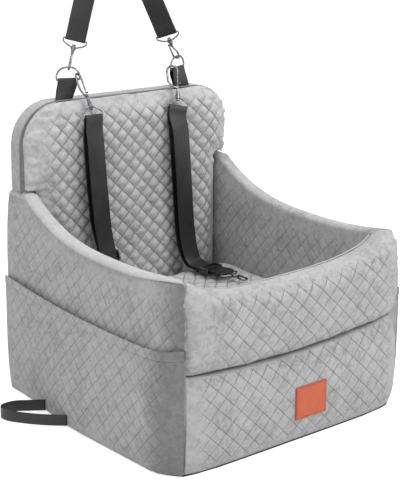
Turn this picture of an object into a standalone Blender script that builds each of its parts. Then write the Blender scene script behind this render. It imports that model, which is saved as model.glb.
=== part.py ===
"""Dog car seat: a quilted foam box with a tall back, its webbing straps, rings and snap hooks.

Metres, +Z up. The seat faces -Y, +X is to the right for someone who looks at its front, and
the origin is the centre of the underside.
Every sub-part is its own object, named as a person would name it.
"""

import math

import bmesh
import bpy
from mathutils import Matrix, Vector

SHARP_ANGLE = math.radians(35)

# Fits and stock
CLEARANCE = 0.0003
CUT_OVERRUN = 0.004
COVER_CLOTH = 0.002
FOAM_EASE = 0.0012
WEBBING_WIDTH = 0.038
WEBBING_THICKNESS = 0.0016
WEBBING_STEP = 0.014

# Box
SEAT_WIDTH = 0.500
FRONT_EDGE = 0.255
REAR_EDGE = 0.260
CABIN_HALF = 0.220
CABIN_FRONT = -0.210
SHEET_THICKNESS = 0.003
BOARD_THICKNESS = 0.004
BASE_FOAM_TOP = 0.130
SIDE_BOW = 0.028
SIDE_BOW_POWER = 1.3
SIDE_PUFF = 0.0073
BOW_REAR_SHARE = 0.50
BOW_FRONT_SHARE = 0.11
FRONT_BOW = 0.010
FRONT_BOW_POWER = 8
FRONT_PUFF = 0.012
CROWN_POWER = 4
RIM_ROUND = 0.008

# Side rims
RIM_LOW_Y = -0.060
RIM_LOW_Z = 0.330
RIM_FRONT_RISE = 0.020
SHOULDER_Z = 0.395
RIM_TOP_Y = 0.205
RIM_FRONT_POWER = 2
RIM_REAR_POWER = 3

# Front rim and the seam between the upper roll and the lower panel
FRONT_RIM_LOW = 0.3145
FRONT_RIM_RISE = 0.0355
FRONT_RIM_POWER = 3.2
SEAM_LOW = 0.168
SEAM_RISE = 0.015
ROLL_END_PUFF = 0.012
ROLL_OVERHANG = 0.020
ROLL_POWER = 3.4
ROLL_PUFF = 0.0014

# Side pockets
POCKET_CLOTH = 0.0024
POCKET_GAP = 0.009
POCKET_LOW_Y = -0.100
POCKET_LOW_Z = 0.220
POCKET_REAR_RISE = 0.012
POCKET_FRONT_RISE = 0.018
POCKET_FULL_SHARE = 0.45
HEM_HEIGHT = 0.016
HEM_EXTRA = 0.0008

# Back
BACK_HALF = 0.245
BACK_HEIGHT = 0.552
BACK_SLUMP = 0.014
BACK_CORNER_SHARE = 0.49681529
BACK_CORNER = (BACK_HEIGHT - SHOULDER_Z) * BACK_CORNER_SHARE
PAD_BACK_Y = 0.225
PAD_THICKNESS = 0.037
PAD_EDGE = 0.014
PAD_ROUND_SHARE = 0.31847134
PAD_ROUND = (BACK_HEIGHT - SHOULDER_Z) * PAD_ROUND_SHARE
PAD_PITCH_X = 0.0175
PAD_PITCH_Z = 0.0185
PAD_PUFF = 0.0035

# Seat cushion
CUSHION_REAR = 0.1868
CUSHION_EDGE_TOP = 0.175
CUSHION_TOP = 0.1885
CUSHION_ROUND = 0.060
CUSHION_COLUMNS = 20
CUSHION_ROWS = 18
CUSHION_PUFF = 0.0025

# Patch
PATCH_WIDTH = 0.075
PATCH_HEIGHT = 0.063
PATCH_THICKNESS = 0.0022
PATCH_CENTRE_X = 0.029
PATCH_CENTRE_Z = 0.0775
PATCH_ROUND = 0.002

# Ring tabs and rings
TAB_FOOT_X = 0.141
TAB_Y = 0.2272
TAB_DEPTH = 0.034
TAB_RISE = 0.037
TAB_SLOT_EASE = 0.001
RING_X = 0.131
RING_HALF = 0.0222
RING_HEIGHT = 0.024
RING_WIRE = 0.0018
RING_CORNER = 0.0026
RING_POWER = 2.4
LEFT_RING_TURN = math.radians(-30)
RIGHT_RING_TURN = math.radians(15)

# Where the hooks sit on the rings, from each ring's middle
CARRY_HOOK_OFFSET = 0.0025
LEFT_HOOK_IN_BEND = (0.002, 0.0)
RIGHT_HOOK_IN_BEND = (-0.003, 0.002)

# Carry strap: where it is held up, and its adjuster
HELD_X = -0.035
HELD_Z = 0.906
HELD_BEND_SHARE = 0.90
HELD_WIDTH = 0.022
ARM_TURN = math.radians(-40)
HELD_TURN = math.radians(-90)
CARRY_END_PLY = 0.018
CARRY_ADJUSTER_SHARE = 0.45
TWIST_START_SHARE = 0.62

# Tethers: the route of the middle of the doubled webbing, from the upper bar to the adjuster,
# then the single run to the lower bar, all as chosen from the photograph
TETHER_GAP = 0.014
TETHER_EASE = 0.060
LOWER_AXIS_Z = 0.2007
LEFT_DOUBLE_ROUTE = ((-0.1095, 0.1790, 0.490), (-0.105, 0.176, 0.400), (-0.0985, 0.173, 0.320),
                     (-0.0957, 0.1687, 0.294), (-0.0905, 0.160, 0.256))
LEFT_SINGLE_ROUTE = ((-0.0866, 0.1525, 0.2265), (-0.0846, 0.1455, 0.2120), (-0.0836, 0.137, 0.2058),
                     (-0.082, 0.122, 0.2037))
LEFT_LOWER_BAR = (-0.080, 0.078)
RIGHT_DOUBLE_ROUTE = ((0.0930, 0.1765, 0.480), (0.100, 0.1765, 0.400), (0.106, 0.1765, 0.320),
                      (0.110, 0.176, 0.270), (0.115, 0.172, 0.230), (0.120, 0.161, 0.2045),
                      (0.1245, 0.144, 0.1990), (0.128, 0.118, 0.1985))
RIGHT_SINGLE_ROUTE = ((0.1296, 0.098, 0.2015),)
RIGHT_LOWER_BAR = (0.1315, 0.074)
LOWER_END_PLY = 0.012
LEFT_TETHER_LEAN = (0.05, 0.56, 0.865)
RIGHT_TETHER_LEAN = (0.33, 0.42, 0.845)
LEFT_GATE_TURN = math.radians(30)
RIGHT_GATE_TURN = math.radians(-40)
LEFT_FRAME_TURN = math.radians(0)
RIGHT_FRAME_TURN = math.radians(-10)
BAR_EASE = 0.050

# Side loop
LOOP_WIDTH = 0.022
LOOP_FLOOR = 0.0035
LOOP_ROUTE = ((-0.290, 0.138), (-0.318, 0.156), (-0.345, 0.156), (-0.354, 0.142),
              (-0.347, 0.118), (-0.322, 0.082), (-0.298, 0.056))
LOOP_REAR_END = 0.124
LOOP_FRONT_END = 0.041
LOOP_STEP = 0.008
LOOP_END_EASE = 0.0009

# Colours
GREY_SIDE = (0.372, 0.372, 0.376)
GREY_FRONT = (0.445, 0.445, 0.448)
GREY_LIGHT = (0.560, 0.560, 0.562)
BLACK_WEBBING = (0.030, 0.030, 0.032)
NICKEL = (0.620, 0.620, 0.630)
BLACK_METAL = (0.045, 0.045, 0.048)
TAN_LEATHER = (0.640, 0.145, 0.068)
FOAM = (0.780, 0.740, 0.600)
BOARD = (0.330, 0.300, 0.260)


class HookSize:
    """The sizes of one pattern of swivel snap hook, in its own frame with +Z towards the bend."""

    def __init__(self, wire, half_width, bend_height, frame_depth, trigger=False, claw=False):
        self.wire = wire
        self.half_width = half_width
        self.bend_height = bend_height
        self.frame_depth = frame_depth
        self.trigger = trigger
        self.claw = claw

    def bend_centre(self):
        """The middle of the bend in the hook's frame."""
        return Vector((-self.half_width if self.claw else 0.0, 0.0, self.bend_height - self.half_width))


STEM_RADIUS = 0.0017
BOSS_RADIUS = 0.0048
BOSS_HALF = 0.0034
BOSS_BORE = 0.0022
FRAME_WIRE = 0.0016
FRAME_HALF = 0.0218
GATE_RADIUS = 0.0016
SHOULDER_HEIGHT = 0.0125
SHOULDER_THICKNESS = 0.0040
TRIGGER_REACH = 0.0062
CLAW_NECK = 0.012
CLAW_DROP = 0.006
CARRY_HOOK = HookSize(0.0019, 0.0072, 0.0400, 0.0165)
TETHER_HOOK = HookSize(0.0022, 0.0100, 0.0640, 0.0200, trigger=True, claw=True)
LOWER_HOOK = HookSize(0.0019, 0.0066, 0.0360, 0.0165, trigger=True)

# Adjusters
ADJUSTER_LENGTH = 0.020
ADJUSTER_BAR = 0.0028
ADJUSTER_RAIL = 0.0030
ADJUSTER_SLACK = 0.0006
HEM_PLY_LENGTH = 0.024


def material(name, colour, roughness, metallic=0.0):
    """A plain material with the colour, roughness and metallic value of the part."""
    made = bpy.data.materials.new(name)
    made.use_nodes = True
    shader = made.node_tree.nodes["Principled BSDF"]
    shader.inputs["Base Color"].default_value = (*colour, 1.0)
    shader.inputs["Roughness"].default_value = roughness
    shader.inputs["Metallic"].default_value = metallic
    made.diffuse_color = (*colour, 1.0)
    return made


def place(name, mesh, surface, frame=None):
    """Puts a mesh made in world places into the scene, with its object's frame at a joint or at the datum."""
    frame = frame or Matrix.Identity(4)
    mesh.transform(frame.inverted())
    mesh.name = name
    mesh.materials.clear()
    mesh.materials.append(surface)
    mesh.shade_smooth()
    mesh.set_sharp_from_angle(angle=SHARP_ANGLE)
    made = bpy.data.objects.new(name, mesh)
    made.matrix_world = frame
    bpy.context.scene.collection.objects.link(made)
    return made


def attach(child, parent):
    """Parents an object to another without moving it."""
    child.parent = parent
    child.matrix_parent_inverse = parent.matrix_world.inverted()


def pivot(name, frame, children, parent=None):
    """An empty whose frame lies on a joint's axis, which carries what turns or slides there."""
    carrier = bpy.data.objects.new(name, None)
    carrier.matrix_world = frame
    carrier.empty_display_size = WEBBING_WIDTH
    bpy.context.scene.collection.objects.link(carrier)
    if parent:
        attach(carrier, parent)
    for child in children:
        attach(child, carrier)
    return carrier


def finished(shape):
    """The mesh of a bmesh whose faces all point outwards."""
    bmesh.ops.recalc_face_normals(shape, faces=shape.faces)
    mesh = bpy.data.meshes.new("shape")
    shape.to_mesh(mesh)
    shape.free()
    return mesh


def loft(rings, closed=False):
    """A closed solid through rings of equally many points, capped at both ends unless it closes on itself."""
    shape = bmesh.new()
    rows = [[shape.verts.new(point) for point in ring] for ring in rings]
    pairs = list(zip(rows, rows[1:]))
    if closed:
        pairs.append((rows[-1], rows[0]))
    for row, following in pairs:
        for index in range(len(row)):
            after = (index + 1) % len(row)
            shape.faces.new((row[index], row[after], following[after]))
            shape.faces.new((row[index], following[after], following[index]))
    if not closed:
        shape.faces.new(rows[0])
        shape.faces.new(rows[-1])
    return finished(shape)


def prism(outline, near, far):
    """An outline of (x, z) points extruded along Y."""
    shape = bmesh.new()
    face = shape.faces.new([shape.verts.new((x, near, z)) for x, z in outline])
    pushed = bmesh.ops.extrude_face_region(shape, geom=[face])
    moved = [item for item in pushed["geom"] if isinstance(item, bmesh.types.BMVert)]
    bmesh.ops.translate(shape, verts=moved, vec=(0.0, far - near, 0.0))
    return finished(shape)


def block(low, high):
    """A box between two corners."""
    shape = bmesh.new()
    size = [top - bottom for bottom, top in zip(low, high)]
    middle = [(top + bottom) / 2 for bottom, top in zip(low, high)]
    bmesh.ops.create_cube(shape, size=1.0, matrix=Matrix.Translation(middle) @ Matrix.Diagonal((*size, 1.0)))
    return finished(shape)


def slab(points, drop):
    """A closed solid under a grid of points, quilted: odd points are puffs and even ones are stitches.

    drop gives the point on the flat underside for a point on the grid's border.
    """
    shape = bmesh.new()
    rows = [[shape.verts.new(point) for point in row] for row in points]
    for i in range(len(rows) - 1):
        for j in range(len(rows[0]) - 1):
            a, b, c, d = rows[i][j], rows[i][j + 1], rows[i + 1][j + 1], rows[i + 1][j]
            if (i + j) % 2 == 0:
                shape.faces.new((a, b, c))
                shape.faces.new((a, c, d))
            else:
                shape.faces.new((a, b, d))
                shape.faces.new((b, c, d))
    border = rows[0] + [row[-1] for row in rows[1:]]
    border += rows[-1][-2::-1] + [row[0] for row in rows[-2:0:-1]]
    under = [shape.verts.new(drop(corner.co)) for corner in border]
    for index in range(len(border)):
        after = (index + 1) % len(border)
        shape.faces.new((border[index], border[after], under[after], under[index]))
    shape.faces.new(under)
    return finished(shape)


def sheet(outer, inner):
    """A closed solid between two grids of equally many points."""
    shape = bmesh.new()
    skins = [[[shape.verts.new(point) for point in row] for row in grid] for grid in (outer, inner)]
    for rows in skins:
        for i in range(len(rows) - 1):
            for j in range(len(rows[0]) - 1):
                shape.faces.new((rows[i][j], rows[i][j + 1], rows[i + 1][j + 1], rows[i + 1][j]))
    borders = []
    for rows in skins:
        border = rows[0] + [row[-1] for row in rows[1:]]
        borders.append(border + rows[-1][-2::-1] + [row[0] for row in rows[-2:0:-1]])
    for index in range(len(borders[0])):
        after = (index + 1) % len(borders[0])
        shape.faces.new((borders[0][index], borders[0][after], borders[1][after], borders[1][index]))
    return finished(shape)


def tube(points, radii, closed=False):
    """A round bar along points, with one radius or a radius for each, as a welded mesh."""
    if not isinstance(radii, (list, tuple)):
        radii = [radii] * len(points)
    widest = max(radii)
    curve = bpy.data.curves.new("bar", "CURVE")
    curve.dimensions = "3D"
    curve.bevel_depth = widest
    curve.bevel_resolution = 2
    curve.use_fill_caps = not closed
    spline = curve.splines.new("POLY")
    spline.points.add(len(points) - 1)
    for knot, point, radius in zip(spline.points, points, radii):
        knot.co = (*point, 1.0)
        knot.radius = radius / widest
    spline.use_cyclic_u = closed
    holder = bpy.data.objects.new("bar", curve)
    bpy.context.scene.collection.objects.link(holder)
    graph = bpy.context.evaluated_depsgraph_get()
    mesh = bpy.data.meshes.new_from_object(holder.evaluated_get(graph))
    bpy.data.objects.remove(holder)
    bpy.data.curves.remove(curve)
    shape = bmesh.new()
    shape.from_mesh(mesh)
    bpy.data.meshes.remove(mesh)
    bmesh.ops.remove_doubles(shape, verts=shape.verts, dist=CLEARANCE / 100)
    return finished(shape)


def boolean(target, other, operation):
    """Cuts or joins another object into the target, and hides that other as a helper."""
    other.hide_render = True
    other.display_type = "WIRE"
    step = target.modifiers.new(operation.lower(), "BOOLEAN")
    step.operation = operation
    step.object = other
    step.solver = "EXACT"
    return target


def helper(name, mesh, surface, target):
    """A cutter or a joined piece, kept under the object that it shapes."""
    made = place(name, mesh, surface)
    attach(made, target)
    return made


def plateau(share, power=CROWN_POWER):
    """0 at both ends of a span and near 1 over its middle."""
    return 1 - abs(2 * min(max(share, 0.0), 1.0) - 1) ** power


def ease(share):
    """A smooth step from 0 to 1."""
    share = min(max(share, 0.0), 1.0)
    return share * share * (3 - 2 * share)


WALL_EDGE = SEAT_WIDTH / 2 - POCKET_CLOTH - CLEARANCE
MITRE_SLOPE = (FRONT_EDGE + CABIN_FRONT) / (WALL_EDGE - CABIN_HALF)
FLOOR_Z = SHEET_THICKNESS + CLEARANCE
WALL_HEIGHT_SHARES = (0.0, 0.10, 0.28, 0.50, 0.72, 0.90)
SIDE_STATION_SHARES = (0.0, 0.02, 0.045, 0.075, 0.11, 0.17, 0.27, 0.38, 0.50, 0.62, 0.74, 0.85, 0.94,
                       1.0)
FRONT_STATIONS = 22


def side_rim(y):
    """Height of a side wall's rim."""
    if y < RIM_LOW_Y:
        return RIM_LOW_Z + RIM_FRONT_RISE * ((RIM_LOW_Y - y) / (RIM_LOW_Y + FRONT_EDGE)) ** RIM_FRONT_POWER
    share = min((y - RIM_LOW_Y) / (RIM_TOP_Y - RIM_LOW_Y), 1.0)
    return RIM_LOW_Z + (SHOULDER_Z - RIM_LOW_Z) * share**RIM_REAR_POWER


def front_rim(x):
    """Height of the front roll's rim."""
    return FRONT_RIM_LOW + FRONT_RIM_RISE * (abs(x) / WALL_EDGE) ** FRONT_RIM_POWER


def front_seam(x):
    """Height of the seam under the front roll."""
    return SEAM_LOW + SEAM_RISE * (x / WALL_EDGE) ** 2


def side_bow(share):
    """How much of its bow a side wall has at a share of its length from the front corner."""
    rounded = math.sin(math.pi / 2 * min(share / BOW_FRONT_SHARE, 1.0))
    return rounded * ease((1 - share) / BOW_REAR_SHARE)


def wall_x(share, height_share):
    """Distance of a side wall's outer face from the middle plane."""
    bowed = SIDE_BOW * side_bow(share) * (1 - min(height_share, 1.0) ** SIDE_BOW_POWER)
    return WALL_EDGE + bowed + SIDE_PUFF * plateau(height_share)


def mitre_y(x, inset=0.0):
    """Where the corner's mitre lies at a distance from the middle plane."""
    return CABIN_FRONT - (x - CABIN_HALF - inset) * MITRE_SLOPE


def wall_y(share, height_share):
    """Place along the seat of a point on a side wall's outer face."""
    front = mitre_y(WALL_EDGE + SIDE_PUFF * plateau(height_share))
    return front + (REAR_EDGE - front) * share


def station_share(station, count):
    """Shares of a length that lie closer together towards both its ends."""
    return (1 - math.cos(math.pi * station / count)) / 2


def side_wall(side, inset, floor, shrink=0.0):
    """Side wall solid, drawn in all round by inset and shrink, with its front end cut to the mitre."""
    drawn = inset + shrink
    inner = CABIN_HALF + drawn
    rear = REAR_EDGE - drawn
    rings = []
    for share in SIDE_STATION_SHARES:
        outline = []

        def depth(x):
            front = mitre_y(x, inset) + shrink * MITRE_SLOPE
            return front + (rear - front) * share

        for height_share in WALL_HEIGHT_SHARES:
            y = depth(WALL_EDGE + SIDE_PUFF * plateau(height_share) - drawn)
            top = side_rim(y) - drawn - RIM_ROUND
            z = FLOOR_Z + (top - FLOOR_Z) * height_share if height_share else floor
            outline.append((wall_x(share, height_share) - drawn, y, z))
        outer = WALL_EDGE - drawn
        for x, fall in ((outer, RIM_ROUND), (outer - RIM_ROUND / 3, RIM_ROUND / 3), (outer - RIM_ROUND, 0.0)):
            outline.append((x, depth(x), side_rim(depth(x)) - drawn - fall))
        for x, fall in ((inner + RIM_ROUND / 2, 0.0), (inner, RIM_ROUND / 2)):
            outline.append((x, depth(x), side_rim(depth(x)) - drawn - fall))
        outline.append((inner, depth(inner), floor))
        rings.append([(side * x, y, z) for x, y, z in outline])
    return loft(rings)


def front_lower(inset, floor):
    """Lower front panel solid between the corner mitres, drawn in by inset."""
    rings = []
    for station in range(FRONT_STATIONS + 1):
        share = station_share(station, FRONT_STATIONS)
        bow = FRONT_BOW * plateau(share, FRONT_BOW_POWER)
        inner = CABIN_FRONT - inset
        outline = []
        for height_share in WALL_HEIGHT_SHARES:
            corner = inset - FRONT_EDGE - FRONT_PUFF * plateau(height_share)
            outline.append((corner - bow, corner, height_share))
        corner = inset - FRONT_EDGE + RIM_ROUND / 3
        outline.append((corner - bow, corner, 1.0))
        outline.append((inner, inner, 1.0))
        outline.append((inner, inner, 0.0))
        ring = []
        for y, y_mitre, height_share in outline:
            half = CABIN_HALF + (CABIN_FRONT - y_mitre) / MITRE_SLOPE - CLEARANCE - inset
            x = (2 * share - 1) * half
            ring.append((x, y, floor + (front_seam(x) - CLEARANCE - inset - floor) * height_share))
        rings.append(ring)
    return loft(rings)


def front_roll():
    """Upper front roll: a stuffed, quilted roll that overhangs the panel under it."""
    rings = []
    sides = 20
    for station in range(FRONT_STATIONS + 1):
        share = station_share(station, FRONT_STATIONS)
        full = plateau(share, FRONT_BOW_POWER)
        front = -(FRONT_EDGE + ROLL_END_PUFF + (ROLL_OVERHANG - ROLL_END_PUFF) * full)
        middle_y = (front + CABIN_FRONT) / 2
        half_y = (CABIN_FRONT - front) / 2
        ring = []
        for corner in range(sides):
            angle = 2 * math.pi * corner / sides
            across = math.copysign(abs(math.cos(angle)) ** (2 / ROLL_POWER), math.cos(angle))
            upward = math.copysign(abs(math.sin(angle)) ** (2 / ROLL_POWER), math.sin(angle))
            y = middle_y - half_y * across
            half_x = CABIN_HALF + (CABIN_FRONT - y) / MITRE_SLOPE - CLEARANCE
            x = (2 * share - 1) * half_x
            low = front_seam(x)
            high = front_rim(x)
            if across > ROLL_POWER / 4 and (station + corner) % 2:
                y -= ROLL_PUFF * full
            ring.append((x, y, (low + high) / 2 + (high - low) / 2 * upward))
        rings.append(ring)
    return loft(rings)


def pocket_hem_height(y):
    """Height of a side pocket's opening."""
    if y < POCKET_LOW_Y:
        share = (POCKET_LOW_Y - y) / (POCKET_LOW_Y + FRONT_EDGE)
        return POCKET_LOW_Z + POCKET_FRONT_RISE * share**RIM_REAR_POWER
    share = (y - POCKET_LOW_Y) / (REAR_EDGE - POCKET_LOW_Y)
    return POCKET_LOW_Z + POCKET_REAR_RISE * share**RIM_FRONT_POWER


def pocket_stand(along, share):
    """How far a pocket stands off the wall, at shares of its length and of the way up to its opening."""
    return CLEARANCE + (POCKET_GAP - CLEARANCE) * plateau(along) * ease(share / POCKET_FULL_SHARE)


def wall_height_share(y, z):
    """The share of a side wall's height at which a point lies."""
    return (z - FLOOR_Z) / (side_rim(y) - RIM_ROUND - FLOOR_Z)


def pocket_skins(side, low_share, high_share, extra):
    """The outer and inner skins of a stretch of a pocket, from one share of its height to another."""
    outer, inner = [], []
    rows = 6 if high_share < 1 else 2
    for along in SIDE_STATION_SHARES:
        outer_row, inner_row = [], []
        for row in range(rows + 1):
            share = low_share + (high_share - low_share) * row / rows
            y = wall_y(along, 0.0)
            top = pocket_hem_height(y)
            seam = top - HEM_HEIGHT
            z = FLOOR_Z + (seam - FLOOR_Z) * min(share, 1.0)
            if high_share > 1:
                z = seam + CLEARANCE + (top - seam) * row / rows
            height_share = wall_height_share(y, z)
            y = wall_y(along, height_share)
            inside = wall_x(along, height_share) + pocket_stand(along, share)
            inner_row.append((side * inside, y, z))
            outer_row.append((side * (inside + POCKET_CLOTH + extra * (row > 0)), y, z))
        outer.append(outer_row)
        inner.append(inner_row)
    return outer, inner


def back_top(x):
    """Height of the back's top edge, which slopes a little to the right as the soft back leans."""
    return BACK_HEIGHT - BACK_SLUMP * x / (2 * RING_X)


def back_outline(inset):
    """Outline of the back, wide above the side walls' shoulders, with round top corners."""
    lower = CABIN_HALF - CLEARANCE - inset
    upper = BACK_HALF - inset
    shoulder = SHOULDER_Z + CLEARANCE + inset
    radius = BACK_CORNER - inset
    points = [(-lower, FLOOR_Z), (lower, FLOOR_Z), (lower, shoulder), (upper, shoulder)]
    corner_steps = 7
    for side in (1, -1):
        for step in range(corner_steps + 1):
            angle = math.radians(90) * step / corner_steps
            reach = (math.cos(angle), math.sin(angle)) if side > 0 else (math.sin(angle), math.cos(angle))
            x = side * (upper - radius + radius * reach[0])
            z = back_top(side * (upper - radius)) - inset - radius + radius * reach[1]
            points.append((x, z))
    points += [(-upper, shoulder), (-lower, shoulder)]
    return points


def depth_inside(x, z, outline):
    """Distance from a point to the nearest edge of an outline, or 0 outside it."""
    nearest = math.inf
    inside = False
    for (ax, az), (bx, bz) in zip(outline, outline[1:] + outline[:1]):
        run = Vector((bx - ax, bz - az))
        share = min(max(Vector((x - ax, z - az)).dot(run) / run.length_squared, 0.0), 1.0)
        nearest = min(nearest, math.hypot(x - ax - run.x * share, z - az - run.y * share))
        if (az > z) != (bz > z) and x < ax + run.x * (z - az) / run.y:
            inside = not inside
    return nearest if inside else 0.0


def back_pad_slab():
    """The quilted slab that the back pad is cut from, thinner towards its outline."""
    outline = back_outline(CLEARANCE)
    columns = 2 * math.ceil((BACK_HALF + CUT_OVERRUN) / PAD_PITCH_X)
    low = BASE_FOAM_TOP
    heights = [-CUT_OVERRUN]
    while heights[-1] < BACK_HEIGHT + BACK_SLUMP:
        heights.append(max(heights[-1] + PAD_PITCH_Z, low))
    grid = []
    for row, z in enumerate(heights):
        line = []
        for column in range(columns + 1):
            x = (column - columns / 2) * PAD_PITCH_X
            swell = ease(depth_inside(x, max(z, FLOOR_Z + PAD_ROUND), outline) / PAD_ROUND)
            puff = PAD_PUFF if (row + column) % 2 else 0.0
            thickness = PAD_EDGE + (PAD_THICKNESS - PAD_EDGE - PAD_PUFF) * swell + puff * swell
            line.append((x, PAD_BACK_Y - thickness, z))
        grid.append(line)
    return slab(grid, lambda point: (point.x, PAD_BACK_Y, point.z))


def seat_cushion():
    """The removable cushion, crowned, drawn in at its sides and lightly quilted."""
    low = BASE_FOAM_TOP + CLEARANCE
    half = CABIN_HALF - CLEARANCE
    front = CABIN_FRONT + CLEARANCE
    grid = []
    for row in range(CUSHION_ROWS + 1):
        y = front + (CUSHION_REAR - front) * row / CUSHION_ROWS
        line = []
        for column in range(CUSHION_COLUMNS + 1):
            x = -half + 2 * half * column / CUSHION_COLUMNS
            border = min(half - abs(x), y - front, CUSHION_REAR - y)
            swell = math.sin(math.pi / 2 * min(border / CUSHION_ROUND, 1.0))
            puff = CUSHION_PUFF * swell if (row + column) % 2 else 0.0
            line.append((x, y, CUSHION_EDGE_TOP + (CUSHION_TOP - CUSHION_EDGE_TOP) * swell + puff))
        grid.append(line)
    return slab(grid, lambda point: (point.x, point.y, low))


def base_sheet():
    """The non-slip underside, which follows the bowed walls."""
    shares = reversed(SIDE_STATION_SHARES)
    right = [(wall_x(share, 0.0) + POCKET_CLOTH, wall_y(share, 0.0)) for share in shares]
    front = []
    steps = 8
    for station in range(1, steps):
        share = station_share(station, steps)
        front.append(((1 - 2 * share) * WALL_EDGE, -FRONT_EDGE - FRONT_BOW * plateau(share, FRONT_BOW_POWER)))
    outline = right + front + [(-x, y) for x, y in reversed(right)]
    return loft([[(x, y, z) for x, y in outline] for z in (0.0, SHEET_THICKNESS)])


def smooth_route(points, step):
    """Points about step apart along a smooth curve through the route's own points."""
    knots = [Vector(point) for point in points]
    knots = [2 * knots[0] - knots[1]] + knots + [2 * knots[-1] - knots[-2]]
    found = []
    for before, start, end, after in zip(knots, knots[1:], knots[2:], knots[3:]):
        pieces = max(1, round((end - start).length / step))
        for piece in range(pieces):
            t = piece / pieces
            leaving = (end - before) / 2
            arriving = (after - start) / 2
            found.append((2 * t**3 - 3 * t**2 + 1) * start + (t**3 - 2 * t**2 + t) * leaving
                         + (3 * t**2 - 2 * t**3) * end + (t**3 - t**2) * arriving)
    return found + [knots[-2]]


def directions(points):
    """Unit directions of travel at each point of a path."""
    found = []
    for index in range(len(points)):
        before = points[max(index - 1, 0)]
        after = points[min(index + 1, len(points) - 1)]
        found.append((after - before).normalized())
    return found


def squared(across, along):
    """The part of a direction that is square to another, at unit length."""
    return (across - along * across.dot(along)).normalized()


def ribbon(points, across, width=WEBBING_WIDTH, sheared=False):
    """Flat webbing along a path, with its width direction at each point, squared to it unless sheared."""
    rings = []
    for point, along, wide in zip(points, directions(points), across):
        side = (wide.normalized() if sheared else squared(wide, along)) * (width / 2)
        face = along.cross(side).normalized() * (WEBBING_THICKNESS / 2)
        rings.append([point - side - face, point + side - face, point + side + face, point - side + face])
    return loft(rings)


def fold(centre, start, turn_axis, half_turns=1, steps=8):
    """Points of a round fold about an axis through centre, starting at the offset start."""
    found = []
    for step in range(steps + 1):
        found.append(centre + Matrix.Rotation(math.pi * half_turns * step / steps, 3, turn_axis) @ start)
    return found


def frame_matrix(origin, across, upward):
    """A frame whose +Z is upward and whose +X is as near to across as it can be."""
    upward = Vector(upward).normalized()
    across = squared(Vector(across), upward)
    depth = upward.cross(across)
    turned = Matrix((across, depth, upward)).transposed().to_4x4()
    return Matrix.Translation(origin) @ turned


BAR_FOLD = FRAME_WIRE + WEBBING_THICKNESS / 2 + CLEARANCE


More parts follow.
